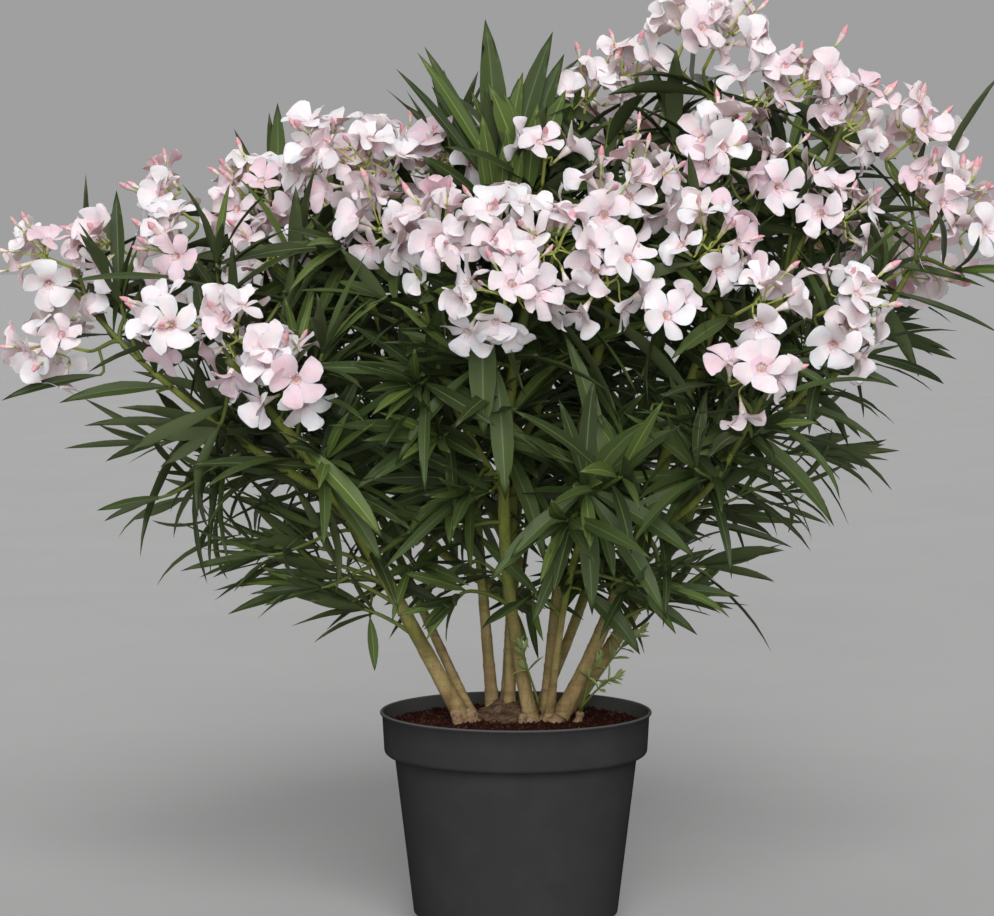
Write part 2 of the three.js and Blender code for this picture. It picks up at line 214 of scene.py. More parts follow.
# Leafy tips that stand up between the trusses: where the leaves start, the way the tip points, how long its
# leaves are beside the usual, and how many whorls it has below its bud.
LEAFY_TIPS = [
    ((-16, -20, 700), (-0.1, 0.1, 1.0), 0.6, 0),
    ((8, -30, 690), (0.15, -0.1, 1.0), 0.6, 0),
    ((-6, 40, 708), (-0.05, 0.6, 1.0), 1.0, 1),
    ((24, 20, 704), (0.4, 0.2, 0.9), 0.85, 0),
    ((-205, -50, 596), (-0.05, -0.1, 1.0), 0.85, 1),
    ((-176, -40, 600), (0.35, -0.1, 0.9), 0.75, 1),
    ((-369, -46, 572), (-0.05, -0.1, 1.0), 0.75, 1),
    ((150, 40, 722), (0.0, 0.0, 1.0), 0.8, 1),
    ((252, -30, 650), (0.3, -0.1, 0.9), 0.65, 1),
    ((330, -30, 590), (0.3, -0.2, 0.9), 0.6, 1),
    ((170, -60, 630), (-0.05, -0.2, 1.0), 0.7, 1),
    ((80, -20, 640), (0.3, -0.1, 1.0), 0.6, 1),
    ((61, -170, 420), (0.0, -0.9, 0.35), 0.3, 0),
    ((-112, -60, 306), (-0.95, -0.15, 0.1), 0.85, 1),
    ((-140, -70, 338), (-0.9, -0.2, 0.1), 1.0, 1),
    ((-178, -60, 372), (-0.9, -0.2, -0.1), 1.0, 2),
    ((112, -45, 312), (0.9, -0.2, 0.1), 0.8, 1),
    ((146, -50, 352), (0.9, -0.2, -0.1), 0.9, 1),
    ((-44, -60, 345), (-0.2, -0.5, -0.45), 0.7, 1),
    ((10, -70, 350), (0.1, -0.5, -0.5), 0.7, 1),
    ((-84, -60, 372), (-0.3, -0.5, -0.4), 0.7, 1),
    ((96, -90, 360), (0.3, -0.5, -0.4), 0.65, 1),
    ((-62, 20, 352), (-0.4, -0.2, -0.5), 0.8, 2),
    ((-26, 40, 348), (0.2, -0.3, -0.6), 0.8, 2),
    ((20, 40, 352), (-0.2, -0.3, -0.6), 0.8, 2),
    ((66, 30, 350), (0.4, -0.2, -0.5), 0.8, 2),
    ((-20, -20, 372), (-0.4, -0.3, -0.4), 0.8, 2),
    ((44, -20, 372), (0.4, -0.3, -0.4), 0.8, 2),
    ((-60, 170, 700), (-0.1, 0.2, 1.0), 0.95, 2),
    ((120, 220, 700), (0.2, 0.2, 1.0), 0.95, 2),
    ((-230, 200, 640), (-0.3, 0.2, 1.0), 0.9, 1),
    ((260, 150, 690), (0.3, 0.2, 1.0), 0.9, 1),
]

# Single leaves that the outline of the crown is known by: base, tip, width, look (0 dark, 1 mid, 2 fresh),
# and how far they arch, in degrees.
LONE_LEAVES = [
    ((-193, -192, 471), (-121, -204, 387), 18, 2, 16),
    ((-168, -180, 434), (-122, -192, 365), 15, 1, 14),
    ((-32, -196, 596), (-30, -212, 480), 25, 1, 8),
    ((-18, -188, 540), (-11, -204, 424), 21, 1, 8),
    ((121, -150, 500), (190, -164, 421), 17, 1, 10),
    ((164, -110, 472), (246, -118, 424), 14, 1, 16),
    ((-390, -40, 527), (-484, -44, 534), 11, 0, -20),
    ((-324, -60, 517), (-424, -64, 500), 15, 1, 20),
    ((-300, 0, 408), (-378, -10, 364), 6, 1, 60),
    ((-264, 10, 372), (-342, 4, 318), 6, 1, 50),
    ((-176, -30, 330), (-270, -40, 300), 12, 1, 16),
    ((-138, -34, 298), (-134, -38, 248), 10, 2, 10),
    ((344, -10, 632), (440, -20, 608), 10, 1, 14),
    ((349, -30, 606), (452, -40, 564), 7, 0, 16),
    ((259, -90, 540), (350, -100, 516), 13, 0, 24),
    ((245, -60, 500), (336, -70, 460), 10, 1, 40),
    ((240, -110, 483), (292, -130, 412), 8, 1, 50),
    ((202, -120, 483), (286, -130, 391), 19, 1, 26),
    ((165, -60, 392), (256, -70, 366), 8, 0, 16),
    ((117, -70, 330), (206, -80, 322), 13, 1, 10),
    ((88, -80, 330), (166, -90, 286), 15, 1, 26),
    ((60, -90, 330), (112, -100, 270), 17, 1, 26),
    # the tall leaves at the top of the crown
    ((-18, -14, 706), (-30, -24, 857), 26, 1, 8),
    ((-22, -10, 706), (-86, -18, 832), 14, 1, 6),
    ((-18, -18, 712), (-76, -30, 835), 13, 2, -8),
    ((-24, -24, 704), (-112, -40, 810), 11, 0, 10),
    ((-8, -10, 708), (35, -14, 846), 22, 1, 8),
    ((0, -4, 706), (33, 2, 831), 21, 1, -6),
    ((-10, -20, 712), (7, -22, 809), 16, 2, 8),
    ((10, -34, 704), (-27, -52, 797), 23, 2, 10),
    ((10, -36, 690), (20, -56, 779), 18, 2, 6),
    ((14, -22, 704), (47, -26, 792), 22, 2, 10),
    ((-26, 4, 705), (-80, 14, 797), 15, 1, 8),
    ((-22, 14, 705), (-61, 30, 794), 17, 1, 8),
    ((-26, 20, 700), (-108, 34, 782), 12, 0, 12),
    ((-30, -40, 690), (-88, -78, 729), 12, 0, 16),
    ((-20, -38, 688), (-32, -60, 768), 15, 2, 4),
    ((2, -38, 688), (-10, -62, 758), 14, 2, 4),
    ((-14, -48, 684), (-12, -60, 742), 11, 2, 4),
    ((-26, -46, 682), (-36, -62, 748), 10, 2, 6),
    ((-4, -48, 684), (6, -64, 736), 10, 2, 4),
    # the rosette that faces the front, low in the middle
    ((61, -196, 436), (69, -204, 530), 16, 0, 12),
    ((64, -198, 436), (144, -216, 489), 15, 1, 8),
    ((64, -198, 432), (158, -206, 369), 20, 1, 16),
    ((62, -200, 430), (130, -214, 318), 19, 1, 14),
    ((61, -204, 430), (64, -240, 382), 13, 2, 10),
    ((60, -196, 430), (66, -206, 322), 18, 1, 8),
    ((58, -196, 432), (-24, -212, 349), 17, 1, 12),
    ((58, -198, 430), (-5, -220, 372), 15, 1, 12),
    ((60, -196, 438), (36, -210, 512), 12, 0, 10),
]

# How the shoots of a mass differ from the usual: how many, which way they lean, how far the leaves hang,
# how bright they are, and how long.
USUAL = dict(
    shoots=3, lean=(0, 0, 1), hang=0.25, lift=0.55, fresh=0.08, length=1.0, width=0.92, gap=23,
    upright=0.0, sprout=False, leader=0.1,
)
SKIRT = dict(hang=0.2, gap=30, width=0.62, lift=0.5)
INNER_SKIRT = dict(hang=0.2, gap=31, width=0.68, lift=0.5)
BACK_SKIRT = dict(shoots=5, hang=0.2, gap=25, width=0.75, lift=0.75)
STYLES = {
    "top_rosette": dict(shoots=1, hang=0.1, fresh=0.3),
    "upper_left": dict(shoots=2),
    "upper_mid": dict(shoots=2),
    "inner_right": dict(shoots=2),
    "top_right": dict(shoots=2, length=0.8),
    "high_centre": dict(shoots=1, length=0.8),
    "high_right": dict(shoots=2, length=0.85),
    "front_rosette": dict(shoots=2, lean=(0.1, -0.9, 0.1), hang=0.3, lift=0.2, fresh=0.05, leader=-0.5),
    "centre_low": dict(shoots=3, lean=(0, -0.4, 0.4), hang=0.7, lift=0.0, fresh=0.08),
    "left_skirt": dict(SKIRT, shoots=5, lean=(-1, -0.3, 0.05), hang=0.14),
    "left_low": dict(INNER_SKIRT, shoots=4, lean=(-0.9, -0.5, 0.05), hang=0.16),
    "right_skirt": dict(SKIRT, lean=(1, -0.2, 0.15)),
    "right_low_inner": dict(INNER_SKIRT, lean=(0.9, -0.3, 0.2)),
    "right_low": dict(shoots=2, lean=(0.9, -0.2, 0.5), hang=0.2, gap=25, width=0.8),
    "left_front": dict(lean=(-0.4, -0.5, 0.4), hang=0.3, gap=24, width=0.85),
    "back_low_left": dict(BACK_SKIRT, lean=(-0.5, 0.8, 0.2)),
    "back_low_right": dict(BACK_SKIRT, lean=(0.5, 0.8, 0.2)),
}
UPRIGHT_TIP = dict(hang=0.12, fresh=0.25, width=1.0, upright=1.0)
LOW_TIP = dict(hang=0.4, fresh=0.05, width=0.72, upright=0.3, lift=0.3)



# ---- vectors ----
def unit(v):
    """Vectors made one long, along the last axis."""
    v = np.asarray(v, dtype=float)
    return v / np.maximum(np.linalg.norm(v, axis=-1, keepdims=True), 1e-12)


def across(v, axis):
    """What is left of v when its share along axis is taken away, made one long."""
    return unit(v - (v * axis).sum(-1, keepdims=True) * axis)


def any_side(axis):
    """Some direction square to each axis."""
    near_x = np.abs(axis[..., 0]) >= 0.8
    return across(np.eye(3)[near_x.astype(int)], axis)


def turned(first, second, angle):
    """The directions at the given angles from first towards second."""
    angle = np.asarray(angle)[..., None]
    return np.cos(angle) * first + np.sin(angle) * second


def ring_angles(sides):
    return np.arange(sides) * TURN / sides


def round_axis(axes, sides_at, angle):
    """The directions square to axes, at an angle round them from sides_at."""
    return turned(sides_at, np.cross(axes, sides_at), angle)


def spread_round(axis, count, widest, turn):
    """Directions spread evenly over a cap round axis, out to the angle widest, in radians."""
    axis = unit(axis)
    side = any_side(axis)
    cosine = 1 - (np.arange(count) + 0.5) / count * (1 - math.cos(widest))
    flat = round_axis(axis, side, turn + np.arange(count) * math.pi * (3 - math.sqrt(5)))
    return cosine[:, None] * axis + np.sqrt(1 - cosine**2)[:, None] * flat


def bow(start, way, end, end_way, steps):
    """A curve of steps + 1 places that leaves start along way and reaches end along end_way. The longer these
    are, the further it keeps to them."""
    t = np.linspace(0, 1, steps + 1)[:, None]
    leaving, coming = start + way, end - end_way
    return start * (1 - t) ** 3 + 3 * leaving * t * (1 - t) ** 2 + 3 * coming * t * t * (1 - t) + end * t**3


def lengths_along(path):
    """How far along a path each of its points lies."""
    return np.concatenate([[0], np.cumsum(np.linalg.norm(np.diff(path, axis=0), axis=1))])


def between(at, known, rows):
    """Rows of numbers between the known ones."""
    return np.stack([np.interp(at, known, column) for column in rows.T], axis=1)


def along(path, distances):
    """Places and directions at the given distances along a path of points."""
    lengths = lengths_along(path)
    slopes = unit(np.gradient(path, axis=0))
    return between(distances, lengths, path), unit(between(distances, lengths, slopes))


# ---- meshes ----
class Pile:
    """The points and faces of one piece, gathered from many small shapes."""

    def __init__(self):
        self.points, self.rims = [], []
        self.faces, self.slots = {4: [], 3: []}, {4: [], 3: []}
        self.count = self.next_rim = 0

    def add(self, points, *groups, rims=None):
        """Each group is faces, as numbers of the points, and their slots. An edge within one rim is sharp."""
        points = points.reshape(-1, 3)
        for faces, slots in groups:
            corners = faces.shape[-1]
            self.faces[corners].append(faces.reshape(-1, corners) + self.count)
            self.slots[corners].append(np.broadcast_to(slots, faces.shape[:-1]).ravel())
        rims = np.full(len(points), -1) if rims is None else rims.ravel()
        self.rims.append(np.where(rims >= 0, rims + self.next_rim, -1))
        self.next_rim = max(self.next_rim, self.rims[-1].max() + 1)
        self.points.append(points)
        self.count += len(points)

    def piece(self, name, materials, slot, stands_for=()):
        """Makes the object, and says what it rides on and which nodes it replaces. Its slot is not used."""
        kinds = [corners for corners in (4, 3) if self.faces[corners]]
        faces = [np.concatenate(self.faces[corners]) for corners in kinds]
        sizes = np.repeat(kinds, [len(group) for group in faces])
        loops = np.concatenate([group.ravel() for group in faces])
        points = np.concatenate(self.points).astype(np.float32)
        mesh = bpy.data.meshes.new(name)
        mesh.vertices.add(len(points))
        mesh.vertices.foreach_set("co", points.ravel())
        mesh.loops.add(len(loops))
        mesh.loops.foreach_set("vertex_index", loops.astype(np.int32))
        mesh.polygons.add(len(sizes))
        mesh.polygons.foreach_set("loop_start", (np.cumsum(sizes) - sizes).astype(np.int32))
        slots = np.concatenate(self.slots[4] + self.slots[3])
        mesh.polygons.foreach_set("material_index", slots.astype(np.int32))
        mesh.update(calc_edges=True)
        mesh.shade_smooth()
        rims = np.concatenate(self.rims)
        if rims.max() >= 0:
            ends = np.empty(len(mesh.edges) * 2, dtype=np.int32)
            mesh.edges.foreach_get("vertices", ends)
            first, second = rims[ends.reshape(-1, 2)].T
            sharp = (first == second) & (first >= 0)
            mesh.attributes.new("sharp_edge", "BOOLEAN", "EDGE").data.foreach_set("value", sharp)
        mesh.validate()
        for material in materials:
            mesh.materials.append(material)
        piece = bpy.data.objects.new(name, mesh)
        bpy.context.scene.collection.objects.link(piece)
        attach(piece, "root")
        if stands_for:
            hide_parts(*stands_for)


def ring_quads(rings, sides):
    """The faces of a tube of rings, each with the given number of points."""
    i, k = np.meshgrid(np.arange(rings - 1) * sides, np.arange(sides), indexing="ij")
    after = (k + 1) % sides
    return np.stack([i + k, i + after, i + sides + after, i + sides + k], -1)


def add_tube(pile, path, radii, sides, slot, relief=0.0):
    """A round limb along a path. relief is added to the radius at each ring and side."""
    ways = unit(np.gradient(path, axis=0))
    side = any_side(ways[0])
    sides_at = []
    for way in ways:
        side = across(side, way)
        sides_at.append(side)
    sides_at = np.array(sides_at)
    flat = round_axis(ways[:, None], sides_at[:, None], ring_angles(sides))
    rings = path[:, None] + (radii[:, None] + relief)[..., None] * flat
    k = np.arange(sides)
    end = len(path) * sides
    top = end - sides
    foot = np.stack([np.full(sides, end), (k + 1) % sides, k], -1)
    head = np.stack([np.full(sides, end + 1), top + k, top + (k + 1) % sides], -1)
    points = np.concatenate([rings.reshape(-1, 3), path[:1], path[-1:]])
    pile.add(points, (ring_quads(len(path), sides), slot), (np.concatenate([foot, head]), slot))


def bent_spines(base, forward, bend, length, angle, power, stations):
    """For each blade, the places and ways of its middle line, which bends from forward towards bend."""
    ways = turned(forward[:, None], bend[:, None], angle[:, None] * stations**power)
    steps = unit(ways[:, 1:] + ways[:, :-1]) * (np.diff(stations) * length[:, None])[..., None]
    places = np.concatenate([np.zeros((len(base), 1, 3)), np.cumsum(steps, axis=1)], axis=1)
    return base[:, None] + places, ways


def add_blades(pile, spine, ways, side, turn, half, across_at, lift, thick, slots):
    """Closed thin blades that end in a point. spine and ways: blades x stations x 3; side: blades x 3; turn,
    half and thick: blades x stations; lift: blades x stations x places across; slots: blades x
    (stations - 1) x (places across + 1)."""
    count, stations, _ = spine.shape
    wide, sides = len(across_at), len(across_at) + 1
    side = side[:, None] * np.ones((1, stations, 1))
    side = across(turned(side, np.cross(side, ways), turn), ways)
    up = np.cross(side, ways)
    upper = spine[:, :, None] + side[:, :, None] * (half[..., None] * across_at)[..., None]
    upper = upper + up[:, :, None] * lift[..., None]
    under = spine - up * thick[..., None]
    rings = np.concatenate([upper, under[:, :, None]], axis=2)[:, :-1]
    body = (stations - 1) * sides
    points = np.concatenate([rings.reshape(count, body, 3), spine[:, -1:]], axis=1)
    start = (np.arange(count) * (body + 1))[:, None, None]
    k, j = np.arange(sides), np.arange(wide - 1)
    low = body - sides
    fan = np.stack([low + k, low + (k + 1) % sides, np.full(sides, body)], -1)
    foot = np.stack([np.full(wide - 1, wide), j + 1, j], -1)
    slots = np.broadcast_to(slots, (count, stations - 1, sides))
    tri_slots = np.concatenate([slots[:, -1], slots[:, 0, : wide - 1]], axis=1)
    rims = np.full((count, stations - 1, sides), -1)
    rims[:, :, 0] = 2 * np.arange(count)[:, None]
    rims[:, :, wide - 1] = rims[:, :, 0] + 1
    rims = np.concatenate([rims.reshape(count, body), np.full((count, 1), -1)], axis=1)
    quads = ring_quads(stations - 1, sides) + start[..., None]
    pile.add(points, (quads, slots[:, :-1]), (np.concatenate([fan, foot]) + start, tri_slots), rims=rims)


def add_lathes(pile, at, axes, sides_at, profile, sides, slots, scale):
    """Many turned shapes of one profile of (height, radius) pairs in millimetres."""
    heights, radii = (np.array(profile) * MM).T[..., None, None]
    flat = round_axis(axes[:, None], sides_at[:, None], ring_angles(sides))
    shapes = heights * axes[:, None, None] + radii * flat[:, None]
    points = at[:, None, None] + shapes * scale[:, None, None, None]
    start = (np.arange(len(at)) * len(profile) * sides)[:, None, None, None]
    pile.add(points, (ring_quads(len(profile), sides) + start, np.array(slots)[:, None]))


# ---- materials ----
class Nodes:
    """A short way to build a material's nodes."""

    def __init__(self, name):
        self.material = bpy.data.materials.new(name)
        self.material.use_nodes = True
        self.tree = self.material.node_tree
        self.shader = self.tree.nodes["Principled BSDF"]
        self.place = self.add("TexCoord", "Object")

    def add(self, kind, output, inputs=(), **settings):
        node = self.tree.nodes.new("ShaderNode" + kind)
        for key, value in settings.items():
            setattr(node, key, value)
        for key, value in dict(inputs).items():
            self.put(node.inputs[key], value)
        return node.outputs[output]

    def put(self, socket, value):
        if isinstance(value, bpy.types.NodeSocket):
            self.tree.links.new(value, socket)
        else:
            socket.default_value = (*value, 1.0) if socket.type == "RGBA" else value

    def height(self):
        return self.add("SeparateXYZ", "Z", {"Vector": self.place})

    def stretch(self, *factors):
        return self.add("Mapping", "Vector", {"Vector": self.place, "Scale": factors})

    def noise(self, scale, detail=3.0, rough=0.55, vector=None):
        inputs = {"Vector": vector or self.place, "Scale": scale, "Detail": detail, "Roughness": rough}
        return self.add("TexNoise", "Fac", inputs)

    def remap(self, value, low, high, to_low=0.0, to_high=1.0):
        inputs = {"Value": value, "From Min": low, "From Max": high, "To Min": to_low, "To Max": to_high}
        return self.add("MapRange", "Result", inputs)

    def mix(self, factor, first, second):
        return self.add("Mix", 2, {0: factor, 6: first, 7: second}, data_type="RGBA", blend_type="MIX")

    def math(self, operation, first, second):
        return self.add("Math", 0, {0: first, 1: second}, operation=operation)

    def finish(self, colour, roughness, height=None, strength=0.3, depth=0.0005, **sockets):
        self.put(self.shader.inputs["Base Color"], colour)
        self.put(self.shader.inputs["Roughness"], roughness)
        for key, value in sockets.items():
            self.shader.inputs[key.replace("_", " ")].default_value = value
        if height is not None:
            bump = self.add("Bump", "Normal", {"Height": height, "Strength": strength, "Distance": depth})
            self.put(self.shader.inputs["Normal"], bump)
        return self.material


def leafy(name, dull, bright, roughness=(0.48, 0.58), specular=0.26):
    """Leaf and stalk surfaces: two close tones that drift into each other, and a fine grain."""
    m = Nodes(name)
    colour = m.mix(m.remap(m.noise(9, 2, 0.4), 0.3, 0.7), dull, bright)
    grain = m.noise(900, 2)
    rough = m.remap(m.noise(30, 2), 0.3, 0.7, *roughness)
    return m.finish(colour, rough, grain, 0.25, 0.0003, Specular_IOR_Level=specular)


def petal(name, dull, bright):
    """Soft matt petals that let some light through."""
    m = Nodes(name)
    colour = m.mix(m.remap(m.noise(70, 3), 0.32, 0.68), dull, bright)
    streaks = m.noise(420, 2)
    rough = m.remap(m.noise(240, 2), 0.3, 0.7, 0.5, 0.66)
    return m.finish(
        colour, rough, streaks, 0.2, 0.0003,
        Specular_IOR_Level=0.20, Sheen_Weight=0.15, Subsurface_Weight=0.30, Subsurface_Scale=0.0012,
    )


def bark(name):
    """Tan bark with fine rings and specks low down, and green young wood above."""
    m = Nodes(name)
    height = m.height()
    wander = m.remap(m.noise(14, 3), 0.25, 0.75, -0.05, 0.05)
    young = m.remap(m.math("ADD", height, wander), 0.245, 0.345)
    streaks = m.noise(60, 5, 0.6, m.stretch(1.0, 1.0, 0.14))
    bands = m.noise(120, 3, 0.6, m.stretch(0.15, 0.15, 1.0))
    specks = m.noise(420, 3, 0.7)
    tan = m.mix(m.remap(streaks, 0.36, 0.64), (0.225, 0.152, 0.062), (0.430, 0.318, 0.140))
    tan = m.mix(m.remap(bands, 0.48, 0.66, 0.0, 0.7), tan, (0.170, 0.106, 0.046))
    green = m.mix(m.remap(streaks, 0.35, 0.65), (0.108, 0.132, 0.021), (0.210, 0.236, 0.043))
    colour = m.mix(young, tan, green)
    colour = m.mix(m.remap(specks, 0.57, 0.68, 0.0, 0.6), colour, (0.070, 0.042, 0.024))
    rough = m.remap(streaks, 0.3, 0.7, 0.58, 0.8)
    relief = m.math("ADD", streaks, m.math("MULTIPLY", specks, 0.5))
    return m.finish(colour, rough, relief, 0.5, 0.0008, Specular_IOR_Level=0.3)


def root_wood(name, dark, light, caked):
    """Knobbly root wood, with peat caked between the knobs."""
    m = Nodes(name)
    knobs = m.noise(95, 5, 0.65)
    specks = m.noise(420, 4, 0.7)
    wood = m.mix(m.remap(knobs, 0.36, 0.62), dark, light)
    colour = m.mix(m.remap(specks, 0.50, 0.64, 0.0, caked), wood, (0.036, 0.015, 0.010))
    relief = m.math("ADD", knobs, specks)
    return m.finish(colour, m.remap(knobs, 0.3, 0.7, 0.75, 0.95), relief, 0.8, 0.0015, Specular_IOR_Level=0.2)


def peat(name, dark, light):
    """Crumbly reddish-brown peat."""
    m = Nodes(name)
    clods = m.noise(110, 5, 0.7)
    grains = m.noise(520, 4, 0.7)
    colour = m.mix(m.remap(clods, 0.35, 0.65), dark, light)
    colour = m.mix(m.remap(grains, 0.60, 0.72, 0.0, 0.6), colour, (0.092, 0.042, 0.026))
    relief = m.math("ADD", clods, grains)
    return m.finish(colour, m.remap(grains, 0.3, 0.7, 0.85, 1.0), relief, 0.9, 0.002, Specular_IOR_Level=0.06)


def plastic(name, clean, dusty):
    """Black moulded plastic: an orange-peel grain, drag lines from the mould, thin dust, and a painted
    highlight along the lip.
    """
    m = Nodes(name)
    dust = m.noise(26, 5, 0.6)
    peel = m.noise(750, 2, 0.5)
    drag = m.noise(180, 3, 0.5, m.stretch(1.0, 1.0, 0.03))
    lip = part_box("pot")[1][2]
    # painted highlight: the top 1.8 mm of the lip is mixed towards light grey for the light it catches
    lip_highlight = m.remap(m.height(), lip - 1.8 * MM, lip, 0.0, 0.9)
    colour = m.mix(m.remap(dust, 0.45, 0.80, 0.0, 0.45), clean, dusty)
    colour = m.mix(lip_highlight, colour, (0.160, 0.160, 0.160))
    rough = m.remap(m.math("ADD", dust, drag), 0.8, 1.2, 0.56, 0.68)
    relief = m.math("ADD", peel, m.math("MULTIPLY", drag, 0.6))
    return m.finish(colour, rough, relief, 0.10, 0.0004, Specular_IOR_Level=0.0)


def made(looks):
    """The materials of a list of looks in the order of their slots. A look is a function and its values."""
    return [maker(*values) for maker, *values in looks]


LEAF_DARK, LEAF_MID, LEAF_FRESH, LEAF_UNDER, LEAF_RIB, LEAF_RIB_FRESH, LEAF_SPROUT = range(7)
LEAF_LOOKS = [
    (leafy, "leaf_dark", (0.022, 0.035, 0.010), (0.034, 0.051, 0.013)),
    (leafy, "leaf_mid", (0.038, 0.060, 0.015), (0.057, 0.086, 0.021)),
    (leafy, "leaf_fresh", (0.062, 0.098, 0.020), (0.096, 0.140, 0.030)),
    (leafy, "leaf_under", (0.048, 0.066, 0.024), (0.068, 0.088, 0.034), (0.55, 0.7), 0.2),
    (leafy, "leaf_rib", (0.080, 0.112, 0.036), (0.110, 0.146, 0.050)),
    (leafy, "leaf_rib_fresh", (0.160, 0.215, 0.055), (0.210, 0.270, 0.080)),
    (leafy, "leaf_sprout", (0.200, 0.260, 0.085), (0.300, 0.360, 0.140)),
]
PETAL_WHITE, PETAL_BLUSH, PETAL_PINK, PETAL_THROAT = range(4)
PETAL_LOOKS = [
    (petal, "petal_white", (0.825, 0.722, 0.746), (0.850, 0.780, 0.796)),
    (petal, "petal_blush", (0.815, 0.660, 0.694), (0.845, 0.730, 0.756)),
    (petal, "petal_pink", (0.775, 0.535, 0.602), (0.815, 0.634, 0.686)),
    (petal, "petal_throat", (0.830, 0.620, 0.650), (0.860, 0.700, 0.725)),
]
PETAL_SHARES = [0.48, 0.38, 0.14]  # of white, blush and pink flowers
HEART_TUBE, HEART_TUBE_FOOT, HEART_THROAT, HEART_CENTRE, HEART_FRINGE, HEART_SEPAL = range(6)
HEART_LOOKS = [
    (petal, "flower_tube", (0.80, 0.66, 0.62), (0.88, 0.80, 0.76)),
    (leafy, "flower_tube_foot", (0.50, 0.52, 0.22), (0.64, 0.64, 0.34)),
    (petal, "flower_throat", (0.80, 0.54, 0.54), (0.84, 0.65, 0.62)),
    (leafy, "flower_centre", (0.74, 0.52, 0.42), (0.80, 0.64, 0.54)),
    (petal, "flower_fringe", (0.84, 0.68, 0.72), (0.87, 0.77, 0.80)),
    (leafy, "flower_sepal", (0.15, 0.19, 0.05), (0.28, 0.26, 0.09)),
]
BUD_TIP, BUD_PALE, BUD_FOOT, BUD_SEPAL = range(4)
BUD_LOOKS = [
    (petal, "bud_tip", (0.70, 0.30, 0.36), (0.82, 0.46, 0.50)),
    (petal, "bud_side", (0.78, 0.58, 0.56), (0.86, 0.72, 0.66)),
    (leafy, "bud_foot", (0.48, 0.54, 0.20), (0.62, 0.66, 0.32)),
    (leafy, "bud_sepal", (0.22, 0.27, 0.07), (0.34, 0.36, 0.12)),
]
STALK_LOOKS = [(leafy, "flower_stalk", (0.34, 0.40, 0.080), (0.50, 0.54, 0.150))]
TWIG_YOUNG, TWIG_OLD = range(2)
TWIG_LOOKS = [
    (leafy, "twig_young", (0.086, 0.116, 0.022), (0.146, 0.182, 0.039)),
    (leafy, "twig_old", (0.080, 0.102, 0.022), (0.134, 0.156, 0.039)),
]
CROWN_WOOD, CROWN_MOUND = range(2)
CROWN_LOOKS = [
    (root_wood, "root_wood", (0.210, 0.128, 0.074), (0.420, 0.290, 0.172), 0.50),
    (root_wood, "root_mound", (0.040, 0.020, 0.013), (0.185, 0.115, 0.072), 0.62),
]
POT_LOOKS = [
    (plastic, "black_plastic", (0.0340, 0.0340, 0.0343), (0.050, 0.0495, 0.049)),
    # painted light: the inside is much lighter than the outside, standing in for the front light its wall
    # catches
    (plastic, "black_plastic_inside", (0.080, 0.079, 0.077), (0.130, 0.128, 0.124)),
]
SOIL_LOOKS = [(peat, "peat", (0.020, 0.007, 0.005), (0.056, 0.018, 0.012))]
CRUMB_LOOKS = [
    (peat, "peat_crumb", (0.021, 0.007, 0.005), (0.056, 0.018, 0.012)),
    (peat, "peat_crumb_red", (0.040, 0.012, 0.008), (0.084, 0.026, 0.017)),
    (peat, "bark_crumb", (0.070, 0.034, 0.021), (0.130, 0.072, 0.046)),
]
CRUMB_SHARES = [0.56, 0.36, 0.08]


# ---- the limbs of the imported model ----
class Limb:
    """A stem or bough as its middle line and its radius, fitted to the node's own points."""

    SAMPLES = 41

    def __init__(self, name, start_near):
        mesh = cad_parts[name].data
        flat = np.empty(len(mesh.vertices) * 3)
        mesh.vertices.foreach_get("co", flat)
        points = np.unique(flat.reshape(-1, 3).round(6), axis=0)
        middle = points.mean(axis=0)
        main = np.linalg.svd(points - middle)[2][0]
        if (start_near - middle) @ main > 0:
            main = -main
        share = (points - middle) @ main
        share = (share - share.min()) / np.ptp(share)
        t = np.linspace(0, 1, self.SAMPLES)
        self.path = np.stack([np.polyval(np.polyfit(share, column, 3), t) for column in points.T], axis=1)
        gaps = np.linalg.norm(points[:, None] - self.path, axis=2)
        nearest = gaps.argmin(axis=1)
        shaft = (nearest > self.SAMPLES * 0.2) & (nearest < self.SAMPLES * 0.9)
        slope, self.foot_radius = np.polyfit(t[nearest[shaft]], gaps.min(axis=1)[shaft], 1)
        self.tip_radius = max(self.foot_radius + slope, 1.8 * MM)
        self.name = name
        self.is_stem = name.startswith("stem_")
        self.length = lengths_along(self.path)[-1]
        self.tip = self.path[-1]
        self.way_out = unit(self.path[-1] - self.path[-4])


def read_limbs():
    """Stems start at their low end, and boughs at the end away from the mass of the same name."""
    starts = {name: np.zeros(3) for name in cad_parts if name.startswith("stem_")}
    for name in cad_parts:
        if name.startswith("bough_"):
            low, high = (np.array(corner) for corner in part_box(name))
            starts[name] = low + high - MASSES[name.replace("bough_", "")]["at"]
    return [Limb(name, start) for name, start in starts.items()]


def read_masses():
    """Each mass as its middle and half-sizes."""
    masses = {}
    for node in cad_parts:
        if node.startswith("foliage_"):
            low, high = (np.array(corner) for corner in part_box(node))
            masses[node.replace("foliage_", "")] = {"at": (low + high) / 2, "half": (high - low) / 2}
    return masses


